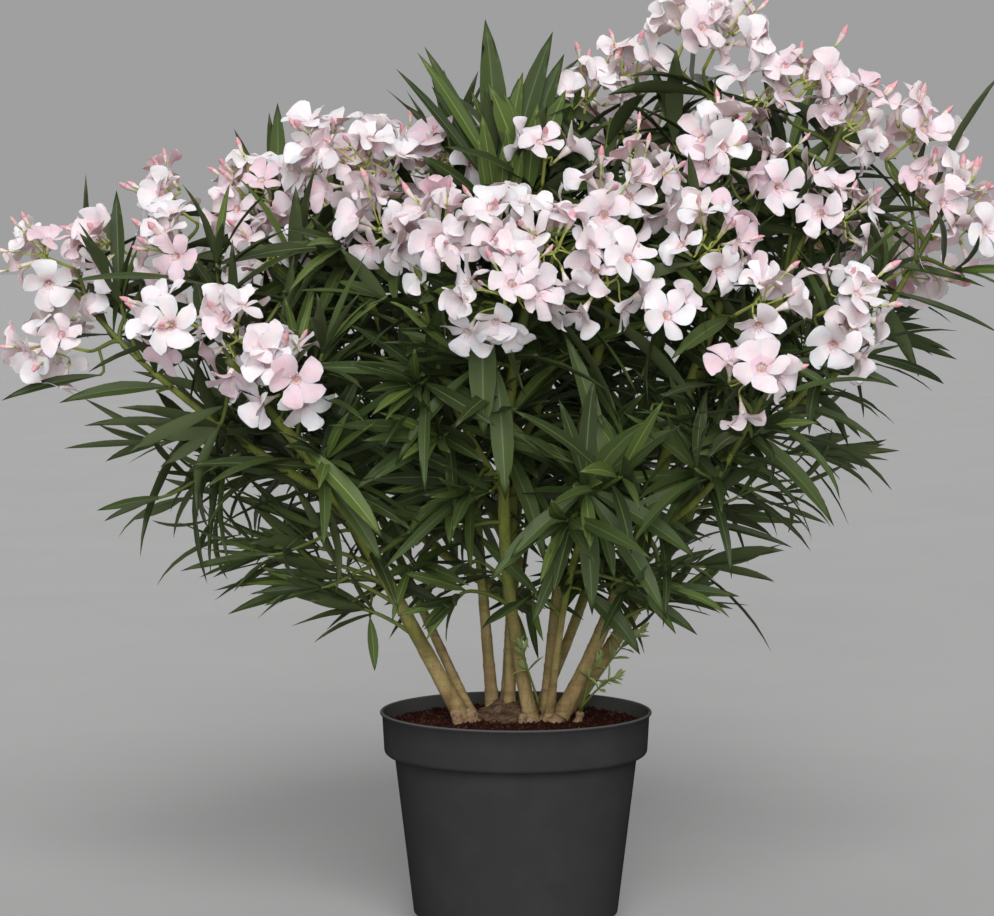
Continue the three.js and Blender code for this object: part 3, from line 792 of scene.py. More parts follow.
def limb_relief(length, rings, sides, radius):
    """Rings of leaf scars, ridges between them and a fine unevenness, in metres out of the round."""
    s = np.linspace(0, length, rings)[:, None]
    angle = ring_angles(sides)[None]
    relief = np.zeros((rings, sides))
    scar = rng.uniform(6, SCAR_GAP) * MM
    turn = 0.0
    while scar < length:
        bump = np.exp(-(((s - scar) / (1.5 * MM)) ** 2))
        step = 1 / (1 + np.exp((s - scar) / (0.9 * MM)))
        near = np.exp(-(((s - scar) / (16 * MM)) ** 2))
        relief += 0.06 * radius * bump * (0.6 + 0.6 * np.cos(3 * (angle - turn)) ** 2)
        relief += 0.03 * radius * (step - 0.5) * near
        scar += SCAR_GAP * MM * rng.uniform(0.6, 1.3)
        turn += math.pi / 3
    for waves in (2, 3, 5, 7):
        phase = rng.uniform(0, TURN)
        drift = 2 * rng.uniform(8, 24)
        relief += 0.02 * radius * np.sin(waves * angle + phase + drift * s)
    return relief + 0.015 * radius * rng.standard_normal((rings, sides))


def add_limb(pile, limb, sides):
    """The whole limb, its foot sunk into what it grows from and its tip run on into the mass."""
    sunk = SUNK * MM if limb.is_stem else 2 * limb.foot_radius
    start = limb.path[0] - unit(limb.path[1] - limb.path[0]) * sunk
    path = np.concatenate([[start], limb.path, [limb.tip + limb.way_out * SUNK * MM]])
    lengths = lengths_along(path)
    rings = max(int(lengths[-1] / (LIMB_RING_GAP * MM)), 12)
    s = np.linspace(0, lengths[-1], rings)
    flare, fade = STEM_FLARE if limb.is_stem else BOUGH_FLARE
    radii = limb.foot_radius + (limb.tip_radius - limb.foot_radius) * (s / lengths[-1])
    radii = radii * LIMB_SLIMMER * (1 + flare * np.exp(-s / (fade * MM)))
    relief = limb_relief(lengths[-1], rings, sides, radii[:, None])
    add_tube(pile, between(s, lengths, path), radii, sides, 0, relief)


# ---- shoots ----
@dataclass
class Shoot:
    """A leafy twig: its path, how its leaves look, its radius at both ends, and where its leaves start.

    A shoot with a crown ends in a bud of young leaves. One that carries something, such as a truss or other
    shoots, stays whole when leaves near its end make room for the blossom. A spared one makes no room."""

    path: np.ndarray
    style: dict
    region: str
    radius: tuple = SHOOT_RADIUS
    first: float = 0.2
    crown: bool = True
    carries: bool = False
    gap: float = 0
    spared: bool = False


def shoot_path(start, way, end, end_way, steps=12):
    leave, arrive = np.array(SHOOT_HANDLES) * np.linalg.norm(end - start)
    return bow(start, way * leave, end, end_way * arrive, steps)


def carrier_of(mass, limbs, name):
    """The bough of this mass's name, or else the stem that ends in it or close to it, if one does."""
    for limb in limbs:
        if limb.name == "bough_" + name:
            return limb
    stems = [limb for limb in limbs if limb.is_stem]
    gaps = [np.linalg.norm((limb.tip - mass["at"]) / mass["half"]) for limb in stems]
    return stems[int(np.argmin(gaps))] if min(gaps) < CARRIER_REACH else None


def nearest_starts(limbs, target, first, last, count):
    """Where the nearest limbs come closest to a target, and their directions there."""
    found = []
    for limb in limbs:
        gaps = np.linalg.norm(limb.path[first:last] - target, axis=1)
        i = min(gaps.argmin() + first, len(limb.path) - 2)
        found.append((gaps.min(), limb.path[i], unit(limb.path[i + 1] - limb.path[i - 1])))
    found.sort(key=lambda item: item[0])
    return [item[1:] for item in found[:count]]


def shoots_of(name, mass, limbs, trusses, region):
    """A mass's own shoots: one under each truss, and others spread through it."""
    style = {**USUAL, **STYLES.get(name, {})}
    outward = unit(mass["at"] * [1, 1, 0] + 1e-4)
    lean = unit(np.array(style["lean"], dtype=float) + 0.45 * outward)
    limb = carrier_of(mass, limbs, name)
    shoots = []
    if limb is not None:
        leader_end = mass["at"] + style["leader"] * mass["half"] * lean
        leader = shoot_path(limb.tip, limb.way_out, leader_end, unit(limb.way_out + 0.5 * lean), 10)
        foot = limb.tip_radius * LIMB_SLIMMER / MM
        radius = (foot, max(SHOOT_RADIUS[0], foot * 0.75))
        shoots.append(Shoot(leader, style, region, radius, 0.05, False, True, 30))
        starts = [(leader[i], unit(leader[i + 1] - leader[i])) for i in (0, 3, 5, 7, 9)]
    else:
        starts = nearest_starts(limbs, mass["at"] - UP * mass["half"][2] * 0.35, 4, -2, 3)
    ends = [(place - face * TRUSS_STALK * MM, unit(face + 0.4 * lean), True) for place, face in trusses]
    for direction in spread_round(lean, style["shoots"], math.radians(SHOOT_SPREAD), rng.uniform(*ANY_TURN)):
        jitter = unit(direction + 0.25 * rng.standard_normal(3))
        end = mass["at"] + jitter * mass["half"] * rng.uniform(*SHOOT_ENDS)
        if trusses:
            end = end - UP * mass["half"][2] * UNDER_BLOSSOM
        ends.append((end, unit(jitter + 0.5 * lean + 0.35 * UP), False))
    for number, (end, end_way, under_truss) in enumerate(ends):
        order = np.argsort([np.linalg.norm(end - place) for place, _ in starts])
        if limb is not None:
            pick, keep_on, turn_off = order[1 if under_truss else number % 3 + 1], 1.0, 0.6
        else:
            pick, keep_on, turn_off = order[0] if under_truss else number % len(starts), 0.5, 1.0
        start, way = starts[pick]
        to_end = unit(end - start)
        path = shoot_path(start, unit(keep_on * way + turn_off * to_end), end, unit(end_way + 0.8 * to_end))
        shoots.append(Shoot(path, style, region, SHOOT_RADIUS, 0.22, not under_truss, under_truss))
    return shoots


def leafy_tips(limbs):
    """The tips that are listed one by one: upright ones with short leaves, and low ones with hanging leaves.
    """
    tips = []
    for place, aim, size, whorls in LEAFY_TIPS:
        foot, aim = np.array(place) * MM, unit(aim)
        end = foot + aim * TIP_LENGTH * MM
        start, way = nearest_starts(limbs, foot - UP * TIP_DROP * MM, 3, None, 1)[0]
        path = shoot_path(start, unit(way + unit(end - start)), end, aim)
        share = 1 - (whorls * TIP_GAP - 2) * MM / lengths_along(path)[-1]
        style = UPRIGHT_TIP if aim[2] > 0.5 else LOW_TIP
        style = dict(USUAL, **style, length=size, gap=TIP_GAP)
        tips.append(Shoot(path, style, region_at(end), (2.4, 1.6), max(share, 0.3), True, True, spared=True))
    return tips


def region_at(place):
    """The four parts of the crown whose leaves are a piece each."""
    x, y, _ = place
    if y > REGION_EDGE:
        return "back"
    return "left" if x < -REGION_EDGE else ("right" if x > REGION_EDGE else "middle")


def side_twigs(limb):
    """The short leafy twigs up the limb, and the leaves on the limb itself."""
    first = SIDE_TWIGS_FROM[0] if limb.is_stem else SIDE_TWIGS_FROM[1]
    style = dict(USUAL, hang=0.25, fresh=0.06, width=0.8)
    twigs = [Shoot(limb.path, style, region_at(limb.path[30]), None, first + 0.06, False, True, 42)]
    for distance in np.arange(first * limb.length, limb.length, SIDE_TWIG_GAP * MM):
        (place,), (way,) = along(limb.path, np.array([distance * rng.uniform(0.95, 1.05)]))
        outward = unit((place - CROWN_MIDDLE * MM) * [1, 1, 0.2])
        aim = unit(across(rng.standard_normal(3), way) + 0.7 * outward + 0.25 * UP)
        end = place + aim * rng.uniform(*SIDE_TWIG_LENGTH) * MM
        path = shoot_path(place, unit(way + aim), end, unit(aim + 0.4 * UP), 8)
        twigs.append(Shoot(path, style, region_at(end), (2.0, 1.4), 0.3, True, False, 20))
    return twigs


def basal_shoots():
    """Thin new shoots with small bright leaves, low on the right-hand stems and in the middle."""
    style = dict(USUAL, hang=0.1, length=0.17, width=0.36, gap=17, sprout=True)
    shoots = []
    for start, end, way in BASAL_ROUTES:
        start, end = np.array(start) * MM, np.array(end) * MM
        path = shoot_path(start, unit(end - start + UP * 0.01), end, unit(way), 8)
        shoots.append(Shoot(path, style, "middle", (1.3, 0.8), 0.62, True, spared=True))
    return shoots


# ---- leaves ----
def whorl_stops(shoot, length):
    """How far up its shoot each whorl sits: closer to each other towards the tip."""
    distance = shoot.first * length
    stops = []
    while distance < length * 0.97:
        stops.append(distance)
        gap = (shoot.gap or shoot.style["gap"]) * MM
        if shoot.crown:
            gap *= 1.15 - 0.55 * distance / length
        distance += gap * rng.uniform(0.85, 1.15)
    if shoot.crown:
        stops += [length] if shoot.style["upright"] else [length * 0.985, length]
    return np.array(stops)


def leaves_of(shoot, number, leaves):
    """Whorls of three, each turned by half a gap from the one before."""
    style = shoot.style
    length = lengths_along(shoot.path)[-1]
    stops = whorl_stops(shoot, length)
    places, ways = along(shoot.path, stops)
    radius = 0.0 if shoot.radius is None else shoot.radius[1] * MM * 0.6
    turn = rng.uniform(0, TURN)
    for share, place, way in zip(stops / length, places, ways):
        side = any_side(way)
        youth = max(0.0, (share - YOUNG_FROM) / (1 - YOUNG_FROM)) if shoot.crown else 0.0
        steep = max(youth, 0.75 * style["upright"])
        shrink = 0.38 * youth * (1 - 0.75 * style["upright"])
        hang = style["hang"] * (1 - 0.7 * youth)
        for k in range(LEAVES_IN_WHORL):
            if rng.random() < LEAVES_MISSING:
                continue
            around = turn + k * TURN / LEAVES_IN_WHORL + rng.normal(0, 0.18)
            radial = round_axis(way, side, around)
            open_angle = math.radians(np.clip(rng.normal(np.interp(steep, (0, 1), LEAF_OPENING), 10), 8, 90))
            forward = unit(turned(way, radial, open_angle))
            forward = unit(forward + UP * max(0.0, -forward[2]) * style["lift"])
            size = rng.uniform(*LEAF_LENGTH) * MM * style["length"] * (1 - shrink)
            outer = across(way, forward)
            face = across(outer + 0.55 * UP + 0.15 * rng.standard_normal(3), forward)
            down = across(-UP - 0.001 * face, forward)
            slot = LEAF_MID
            if rng.random() < style["fresh"] + 0.45 * youth:
                slot = LEAF_FRESH
            elif rng.random() >= 0.5:
                slot = LEAF_DARK
            leaves.append(dict(
                base=place + radial * radius, forward=forward, face=face, length=size,
                bend=across(-0.35 * outer + (0.2 + hang) * down, forward),
                width=LEAF_WIDTH * MM / 2 * style["width"] * rng.uniform(0.72, 1.15) * (1 - 0.25 * youth),
                angle=math.radians(rng.uniform(2, 24) + 46 * hang * rng.uniform(0.1, 1.4)),
                twist=rng.normal(0, 0.45), slot=LEAF_SPROUT if style["sprout"] else slot,
                fold=rng.uniform(0.12, 0.5), shoot=number, share=share,
            ))
        turn += math.pi / 3 + rng.normal(0, 0.1)


def add_lone_leaves(leaves, shoots):
    """Each hangs on a short twig from the nearest shoot, which is added to the shoots."""
    places = np.concatenate([shoot.path for shoot in shoots])
    for base, tip, width, bright, arch in LONE_LEAVES:
        base, tip = np.array(base) * MM, np.array(tip) * MM
        start = places[np.linalg.norm(places - base, axis=1).argmin()]
        way = unit(tip - base)
        twig = shoot_path(start, unit(base - start + UP * 0.005), base, way, 6)
        shoots.append(Shoot(twig, USUAL, region_at(base), (1.6, 1.3), 1.0, False, True, spared=True))
        down = across(-UP, way)
        forward = unit(turned(way, -down, math.radians(arch) / 2))
        leaves.append(dict(
            base=base, forward=forward, face=across(np.array([0, -1.0, 0.7]), forward),
            bend=across(down, forward), length=np.linalg.norm(tip - base) * 1.02, width=width * MM / 2,
            angle=math.radians(abs(arch)), twist=rng.normal(0, 0.15), slot=bright, fold=0.25,
            shoot=len(shoots) - 1, share=1.0,
        ))


LEAF_STATIONS = np.array([0.0, 0.05, 0.14, 0.27, 0.42, 0.57, 0.72, 0.86, 1.0])
LEAF_ACROSS = np.array([-1.0, -0.5, -0.065, 0.065, 0.5, 1.0])
LEAF_CHECKED = [2, 4, 5, 6, 7, 8]  # the stations that are kept clear of the flowers


def leaf_width(t):
    """Lance-shaped: a short stalk, widest just past the middle, and a long point."""
    blade = np.sin(math.pi * t**0.92) ** 0.88
    return np.maximum(blade, 0.10 * (t < 0.2))


def keep_in(base, forward, length):
    """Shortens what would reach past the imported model's box."""
    low = np.array(CAD_BOX[0]) - LIVE_EDGE * MM
    high = np.array(CAD_BOX[1]) + LIVE_EDGE * MM
    low[2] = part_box("pot")[1][2] + ABOVE_POT * MM
    ends = base + forward * length[:, None]
    room_high = np.where(ends > high, (high - base) / np.maximum(ends - base, 1e-9), 1).min(axis=1)
    room_low = np.where(ends < low, (base - low) / np.maximum(base - ends, 1e-9), 1).min(axis=1)
    return length * np.clip(np.minimum(room_high, room_low), SHORTEST, 1)


def leaf_spines(rows):
    base, forward, bend = rows["base"], rows["forward"], rows["bend"]
    length = keep_in(base, unit(forward + 0.4 * bend), rows["length"])
    return bent_spines(base, forward, bend, length, rows["angle"], 1.3, LEAF_STATIONS)


def picked(rows, keep):
    return {field: values[keep] for field, values in rows.items()}


def of_owner(rows, shoots, trait):
    """For each leaf, a trait of its shoot."""
    return np.array([getattr(shoot, trait) for shoot in shoots])[rows["shoot"]]


def thinned(rows, shoots):
    """Opens the crown where the photo shows sky: fewer leaves, which are slim and hang."""
    x, y, z = (rows["base"] + rows["forward"] * rows["length"][:, None] * 0.6).T / MM
    free = ~of_owner(rows, shoots, "spared")
    keep = np.ones(len(x), dtype=bool)
    for start, end, below, share, slimmer, hang in OPEN_PARTS:
        here = (x > start) & (x < end) & (z < below) & (y < OPEN_UP_TO) & free
        keep &= ~(here & (rng.random(len(x)) < share))
        rows["width"][here] *= slimmer
        rows["angle"][here] += hang * rng.uniform(0.2, 1.6, here.sum())
    return picked(rows, keep)


def clear_of(rows, guards, shoots):
    """Takes away the leaves that come near the guarded places, those that are too low, and the shoots that
    lose most of theirs. Returns the leaves that stay, and how far along each shoot they go."""
    spine, _ = leaf_spines(rows)
    tree = KDTree(len(guards))
    for number, guard in enumerate(guards):
        tree.insert(guard, number)
    tree.balance()
    gaps = np.array([[tree.find(place)[2] for place in leaf] for leaf in spine[:, LEAF_CHECKED]])
    out = np.hypot(spine[..., 0], spine[..., 1]) / MM
    under = UNDERSIDE[1] + np.maximum(out - UNDERSIDE[0], 0) * UNDERSIDE[2]
    lowest = np.where(out < BARE_FOOT[0], BARE_FOOT[1], under) * MM
    keep = (gaps.min(axis=1) > VIEW_CLEAR * MM) & ~(spine[..., 2] < lowest).any(axis=1)
    keep |= of_owner(rows, shoots, "spared")
    owner = rows["shoot"]
    before = np.bincount(owner, minlength=len(shoots))
    after = np.bincount(owner[keep], minlength=len(shoots))
    carries = np.array([shoot.carries for shoot in shoots])
    lives = carries | (after >= LEAVES_TO_LIVE * before)
    keep &= lives[owner]
    reach = np.where(carries, 1.0, 0.0)
    np.maximum.at(reach, owner[keep], rows["share"][keep])
    return picked(rows, keep), reach


def before_stem(limbs):
    """Places in front of the stem that shows between the leaves."""
    name, low, high = SHOWN_STEM
    gap, reaches = STEM_VIEWS
    path = next(limb.path for limb in limbs if limb.name == name)
    places = between(np.arange(low, high, gap) * MM, path[:, 2], path)
    return np.concatenate([places - np.array([0, reach * MM, 0]) for reach in reaches])


def before_flowers(flowers):
    """Places on the lines that run from each flower the way it faces, and straight out of the crown."""
    feet, axes, _ = (np.array(values) for values in zip(*flowers))
    throats = feet + axes * TUBE_LENGTH * MM
    outward = unit(throats - CROWN_MIDDLE * MM)
    places = [throats + axes * reach * MM for reach in FLOWER_VIEWS[0]]
    places += [throats + outward * reach * MM for reach in FLOWER_VIEWS[1]]
    return np.concatenate(places)


def add_leaves(pile, rows):
    t, part = LEAF_STATIONS, np.abs(LEAF_ACROSS)
    spine, ways = leaf_spines(rows)
    half = rows["width"][:, None] * leaf_width(t)
    valley = rows["fold"][:, None, None] * half[..., None] * part**0.9
    phase = rng.uniform(*ANY_TURN, (len(spine), 1, 1))
    ripple = 0.06 * half[..., None] * np.sin(t[:, None] * 17 + phase + np.sign(LEAF_ACROSS)) * part
    groove = 0.15 * MM * (part < 0.2)
    thick = LEAF_THICK * MM * (1.5 - t)[None]
    kind = rows["slot"]
    slots = np.repeat(kind[:, None, None], len(LEAF_ACROSS) + 1, axis=2)
    slots[:, 0, 2] = np.where(kind == LEAF_FRESH, LEAF_RIB_FRESH, LEAF_RIB)
    slots[:, 0, -2:] = np.where(kind == LEAF_SPROUT, LEAF_SPROUT, LEAF_UNDER)[:, None]
    side = np.cross(rows["forward"], rows["face"])
    turn = rows["twist"][:, None] * t
    add_blades(pile, spine, ways, side, turn, half, LEAF_ACROSS, valley + ripple - groove, thick, slots)


# ---- flowers ----
@dataclass
class Blossom:
    """All flowers, buds and stalks, gathered before they are made."""

    flowers: list
    buds: list
    stalks: list


def add_truss(blossom, place, face, flowers, buds, reach):
    """Stalks fork from one place; each branch carries a few flowers and buds."""
    turn = rng.uniform(*ANY_TURN)
    number, spread = TRUSS_BRANCHES
    branches = spread_round(face, number, math.radians(spread), turn)
    widest = math.radians(min(50 + 7 * flowers, 108)) if flowers > 1 else 0.1
    ways = spread_round(face, flowers, widest, turn + 1)
    forks = {}
    for way in unit(ways + 0.18 * rng.standard_normal(ways.shape)):
        nearest = int((branches @ way).argmax())
        if nearest not in forks:
            out = branches[nearest]
            end = place + out * reach * rng.uniform(*FORK_REACH)
            forks[nearest] = (end, out)
            blossom.stalks.append((bow(place, face * 6 * MM, end, out * 5 * MM, 5), *BRANCH_RADIUS))
        fork, out = forks[nearest]
        throat = place + way * reach * rng.uniform(*FLOWER_REACH)
        axis = unit(way + 0.25 * face + 0.22 * rng.standard_normal(3))
        foot = throat - axis * TUBE_LENGTH * MM
        handle = 0.34 * np.linalg.norm(foot - fork)
        blossom.stalks.append((bow(fork, out * handle, foot, axis * handle, 6), *STALK_RADIUS))
        blossom.flowers.append((foot, axis, rng.uniform(*FLOWER_SIZES)))
    fork_list = list(forks.values())
    for number in range(buds):
        fork, out = fork_list[number % len(fork_list)]
        way = unit(out + 0.65 * face + 0.35 * UP + 0.42 * rng.standard_normal(3))
        size = rng.uniform(*BUD_LENGTH) * MM
        foot = fork + way * rng.uniform(*BUD_REACH) * MM
        blossom.stalks.append((bow(fork, out * 4 * MM, foot, way * 4 * MM, 4), *STALK_RADIUS))
        blossom.buds.append((foot, way, size))


def add_trusses(blossom, mass_name):
    """Makes the trusses of one mass, and returns where the stalk of each starts and the way it faces."""
    feet = []
    for x, y, z, shown, buds in TRUSSES.get(mass_name, []):
        middle = np.array([x, y, z]) * MM
        face = unit(unit(middle - CROWN_MIDDLE * MM) + (FRONT_LEAN if y < BACK_FROM else BACK_LEAN))
        flowers = math.ceil(shown * UNSEEN)
        reach = (TRUSS_REACH[0] + TRUSS_REACH[1] * math.sqrt(flowers)) * MM
        place = middle - face * reach * TRUSS_MIDDLE
        add_truss(blossom, place, face, flowers, buds, reach)
        foot = place - face * TRUSS_STALK * MM
        blossom.stalks.append((bow(foot, face * 10 * MM, place, face * 8 * MM, 5), *TRUSS_RADIUS))
        feet.append((place, face))
    return feet


PETAL_STATIONS = np.array([0.0, 0.14, 0.32, 0.52, 0.70, 0.83, 0.92, 0.98, 1.0])
PETAL_SHAPE = np.array([0.25, 0.40, 0.65, 0.89, 1.0, 0.97, 0.80, 0.48, 0.0])
PETAL_ACROSS = np.array([-1.0, -0.5, 0.0, 0.5, 1.0])


def add_petals(pile, feet, axes, sides_at, scale, shade):
    """Five petals to a flower, each a little askew, like a pinwheel."""
    count, t, part = len(feet), PETAL_STATIONS, np.abs(PETAL_ACROSS)
    outer = t > 0.3
    thick = np.full((1, 1), PETAL_THICK * MM)
    slots = np.repeat(shade[:, None, None], len(t) - 1, axis=1)
    slots[:, 0] = PETAL_THROAT
    slots[:, 1, 0] = np.minimum(shade + 1, PETAL_PINK)
    openness = np.where(rng.random(count) < HALF_OPEN, rng.uniform(*HALF_OPENNESS, count), 1.0)
    for k in range(PETALS):
        radial = round_axis(axes, sides_at, k * TURN / PETALS + rng.normal(0, 0.10, count))
        tangent = np.cross(axes, radial)
        base = feet + (axes * TUBE_LENGTH + radial * THROAT_RADIUS * 0.8) * MM * scale[:, None]
        rise = np.radians(rng.uniform(*PETAL_RISE, count)) * openness
        forward, bend = turned(axes, radial, rise), turned(radial, -axes, rise)
        angle = np.radians(rng.uniform(*PETAL_CURL, count)) * openness
        length = PETAL_LENGTH * MM * scale * rng.uniform(*PETAL_SIZES, count)
        spine, ways = bent_spines(base, forward, bend, length, angle, 0.75, t)
        skew = (rng.uniform(0.08, 0.26, count) * PETAL_LENGTH * MM)[:, None] * t**2
        skew += PETAL_UNEVEN[1] * MM * rng.standard_normal((count, len(t))) * outer
        spine = spine + tangent[:, None] * skew[..., None]
        turn = rng.normal(0.40, 0.36, count)[:, None] * t
        half = (PETAL_WIDTH * MM * scale * rng.uniform(*PETAL_SIZES, count))[:, None] * PETAL_SHAPE
        half = half * (1 + PETAL_UNEVEN[0] * rng.standard_normal((count, len(t))) * outer)
        cup = 0.24 * half[..., None] * (1 - t)[:, None] * part
        phase = rng.uniform(*ANY_TURN, (count, 1, 1))
        wave = np.sin(np.sign(PETAL_ACROSS) * 1.7 + phase + 7 * t[:, None])
        ruffle = 2.2 * MM * t[:, None] ** 1.5 * wave * part
        add_blades(pile, spine, ways, -tangent, turn, half, PETAL_ACROSS, cup + ruffle, thick, slots)


TUBE_PROFILE = [
    (-0.5, 0.0), (0.0, 1.0), (4.0, 1.3), (9.0, 1.5), (12.0, 2.2), (16.5, 3.4), (21.0, 4.2),
    (21.3, 3.9), (17.0, 2.9), (14.0, 1.6), (13.5, 0.0),
]
TUBE_SLOTS = [HEART_TUBE_FOOT] * 3 + [HEART_TUBE] * 4 + [HEART_THROAT] * 3
CONE_PROFILE = [(-4.0, 0.0), (-3.5, 1.2), (0.0, 1.0), (2.0, 0.6), (3.5, 0.0)]
# Sepals: how far out they stand, how much they splay, their length and half their width.
HEART_SEPALS = (0.6, 0.35, 5.5, 0.95)
CONE_AT = 19  # the feathery cone in a flower's throat, above its foot
FRINGE_FOOT = (20.4, 3.5)  # its height and radius
FRINGE_LENGTH = (4.0, 6.5)
FRINGE_WIDTH = 0.75  # half of it
BUD_SEPALS = (0.5, 0.30, 5.0, 0.85)


def add_spikes(pile, base, forward, bend, radial, length, width, angle, slot):
    """Small pointed blades: sepals, and the fringe of a flower's throat."""
    t = np.array([0.0, 0.5, 1.0])
    spine, ways = bent_spines(base, forward, bend, length, np.full(len(base), angle), 1.0, t)
    half = width[:, None] * np.array([1.0, 0.9, 0.0])
    side = -np.cross(forward, radial)
    lift, thick = np.zeros((1, 1, 1)), np.full((1, 1), 0.3 * MM)
    add_blades(pile, spine, ways, side, 0 * thick, half, np.array([-1.0, 1.0]), lift, thick, slot)


def add_calyx(pile, feet, axes, sides_at, scale, sepals, slot):
    """Five sepals round the foot of each flower or bud."""
    out, splay, length, width = sepals
    for angle in ring_angles(PETALS):
        radial = round_axis(axes, sides_at, angle)
        base = feet + radial * out * MM * scale[:, None]
        forward = unit(axes + splay * radial)
        add_spikes(pile, base, forward, axes, radial, length * MM * scale, width * MM * scale, 0.2, slot)


def add_hearts(pile, feet, axes, sides_at, scale):
    """Tube, throat, fringe, feathery centre and calyx of each flower."""
    add_lathes(pile, feet, axes, sides_at, TUBE_PROFILE, 8, TUBE_SLOTS, scale)
    tip = feet + axes * (CONE_AT * MM * scale)[:, None]
    add_lathes(pile, tip, axes, sides_at, CONE_PROFILE, 5, [HEART_CENTRE] * 4, scale)
    count = len(feet)
    for k in range(2 * PETALS):
        radial = round_axis(axes, sides_at, (k + 0.25) * math.pi / PETALS + rng.normal(0, 0.08, count))
        base = feet + (axes * FRINGE_FOOT[0] + radial * FRINGE_FOOT[1]) * MM * scale[:, None]
        forward = turned(axes, radial, np.radians(rng.uniform(4, 26, count)))
        length, width = rng.uniform(*FRINGE_LENGTH, count) * MM * scale, FRINGE_WIDTH * MM * scale
        add_spikes(pile, base, forward, radial, radial, length, width, 0.5, HEART_FRINGE)
    add_calyx(pile, feet, axes, sides_at, scale, HEART_SEPALS, HEART_SEPAL)


BUD_RINGS = np.array([0.0, 0.10, 0.28, 0.48, 0.64, 0.78, 0.90, 1.0])[:, None]
BUD_RADII = np.array([0.34, 0.42, 0.52, 0.82, 1.0, 0.86, 0.48, 0.04])[:, None]
BUD_SLOTS = np.array([BUD_FOOT] * 2 + [BUD_PALE] * 2 + [BUD_TIP] * 3)[:, None]


def add_buds(pile, feet, axes, sizes):
    """Spindles whose five folds wind round them."""
    sides = 2 * PETALS
    wind = ring_angles(sides) + BUD_RINGS * 1.3
    ridge = 1 + 0.13 * np.where(np.arange(sides) % 2 == 0, 1, -1) * (BUD_RINGS > 0.2)
    scale = sizes / (BUD_LENGTH[1] * MM)
    for foot, axis, size, share in zip(feet, axes, sizes, scale):
        slim = rng.uniform(0.8, 1.1) * share
        side = any_side(axis)
        sway = across(rng.standard_normal(3), axis) * size * 0.05
        radius = BUD_RADIUS * MM * slim * BUD_RADII * ridge
        middle = foot + axis * size * BUD_RINGS + sway * np.sin(math.pi * BUD_RINGS)
        points = middle[:, None] + radius[..., None] * round_axis(axis, side, wind)
        pile.add(points, (ring_quads(len(BUD_RINGS), sides), BUD_SLOTS))
    add_calyx(pile, feet, axes, any_side(axes), scale, BUD_SEPALS, BUD_SEPAL)


# ---- pot, soil and foot ----
def arc(r, z, radius, start, end, steps):
    """Points of an arc in the profile's plane, in millimetres and degrees."""
    angles = np.radians(np.linspace(start, end, steps))
    return zip(r + radius * np.cos(angles), z + radius * np.sin(angles))


def pot_profile():
    """The pot's section, from the middle of its underside, up the outside, over the lip and down inside."""
    rim, _, height = np.array(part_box("pot")[1]) / MM
    band, step, taper, wall = 42.0, 10.0, 4.0, 2.4
    foot, foot_height, foot_step = 94.0, 11.0, 4.0
    band_foot = height - band
    band_radius = rim - taper
    wall_top = band_radius - step
    return [
        (0.0, 1.2), (foot - 12, 1.2), (foot - 10.5, 0.0),
        *arc(foot - 1.2, 1.2, 1.2, -90, 0, 4),
        *arc(foot - 0.8, foot_height - 2.2, 0.8, 0, 60, 3),
        *arc(foot + foot_step - 1.2, foot_height + 1.0, 1.2, -80, 0, 4),
        (wall_top, band_foot - 1.4), (wall_top - 0.02, band_foot - 1.3),
        *arc(wall_top + 1.6, band_foot - 1.0, 1.6, 180, 100, 4),
        *arc(band_radius - 5.2, band_foot + 5.2, 5.2, -86, 0, 8),
        (rim - 2.2, height - 4.2),
        *arc(rim - 1.5, height - 1.9, 1.5, -50, 90, 8),
        *arc(rim - 2.2, height - 1.2, 0.8, 90, 180, 4),
        (band_radius - wall, band_foot + 8), (wall_top - wall, band_foot + 2),
        (foot + 1.0 - wall, foot_height), (foot - wall, wall), (0.0, wall),
    ]


def make_pot():
    profile = np.array(pot_profile())
    rows = []
    for start, end in zip(profile[:-1], profile[1:]):
        pieces = max(1, int(math.dist(start, end) / 14))
        rows += [start + (end - start) * i / pieces for i in range(pieces)]
    radius, height = np.array([*rows, profile[-1]]).T[..., None] * MM
    angle = ring_angles(POT_SIDES)
    points = np.stack([radius * np.cos(angle), radius * np.sin(angle), height + 0 * angle], axis=-1)
    # the rings from the lip inward take the inside material, whose lighter tone is painted light
    within = np.arange(len(rows)) >= height.argmax()
    pile = Pile()
    pile.add(points, (ring_quads(len(points), POT_SIDES), within[:, None].astype(int)))
    pile.piece("pot_shell", made(POT_LOOKS), "pot", ["pot"])


def uneven(x, y, layers):
    """A smooth random height in metres, from layers of a few crossing waves each."""
    total = np.zeros_like(x)
    for height, seed, scale in layers:
        local = np.random.default_rng(seed)
        for _ in range(WAVES):
            way = local.uniform(0, TURN)
            wave = local.uniform(0.5, 2.2) * scale
            crossing = np.sin((x * math.cos(way) + y * math.sin(way)) * wave + local.uniform(*ANY_TURN))
            total += height * MM * crossing / WAVES
    return total


def soil_height(x, y):
    """The top of the soil, in metres: mounded to the middle, with clods."""
    edge, _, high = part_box("soil")[1]
    start, fall = SOIL_MOUND[0] * MM, SOIL_MOUND[1] * MM
    mound = fall * np.clip((np.hypot(x, y) - start) / (edge - start), 0, 1)
    return high - mound + uneven(x, y, SOIL_CLODS) - 0.6 * MM


def add_mound(pile, x, y, z, skirt_scale, skirt_z, middle, slot):
    """A rough top of rings whose first is one point, with a skirt down to an underside."""
    z[0] = z[0].mean()
    top = np.stack([x, y, z], axis=-1)
    skirt = top[-1:] * [skirt_scale, skirt_scale, 0] + UP * skirt_z
    closed = skirt * UP + [*middle, 0]
    points = np.concatenate([top, skirt, closed])[::-1]
    pile.add(points, (ring_quads(len(points), points.shape[1]), slot))


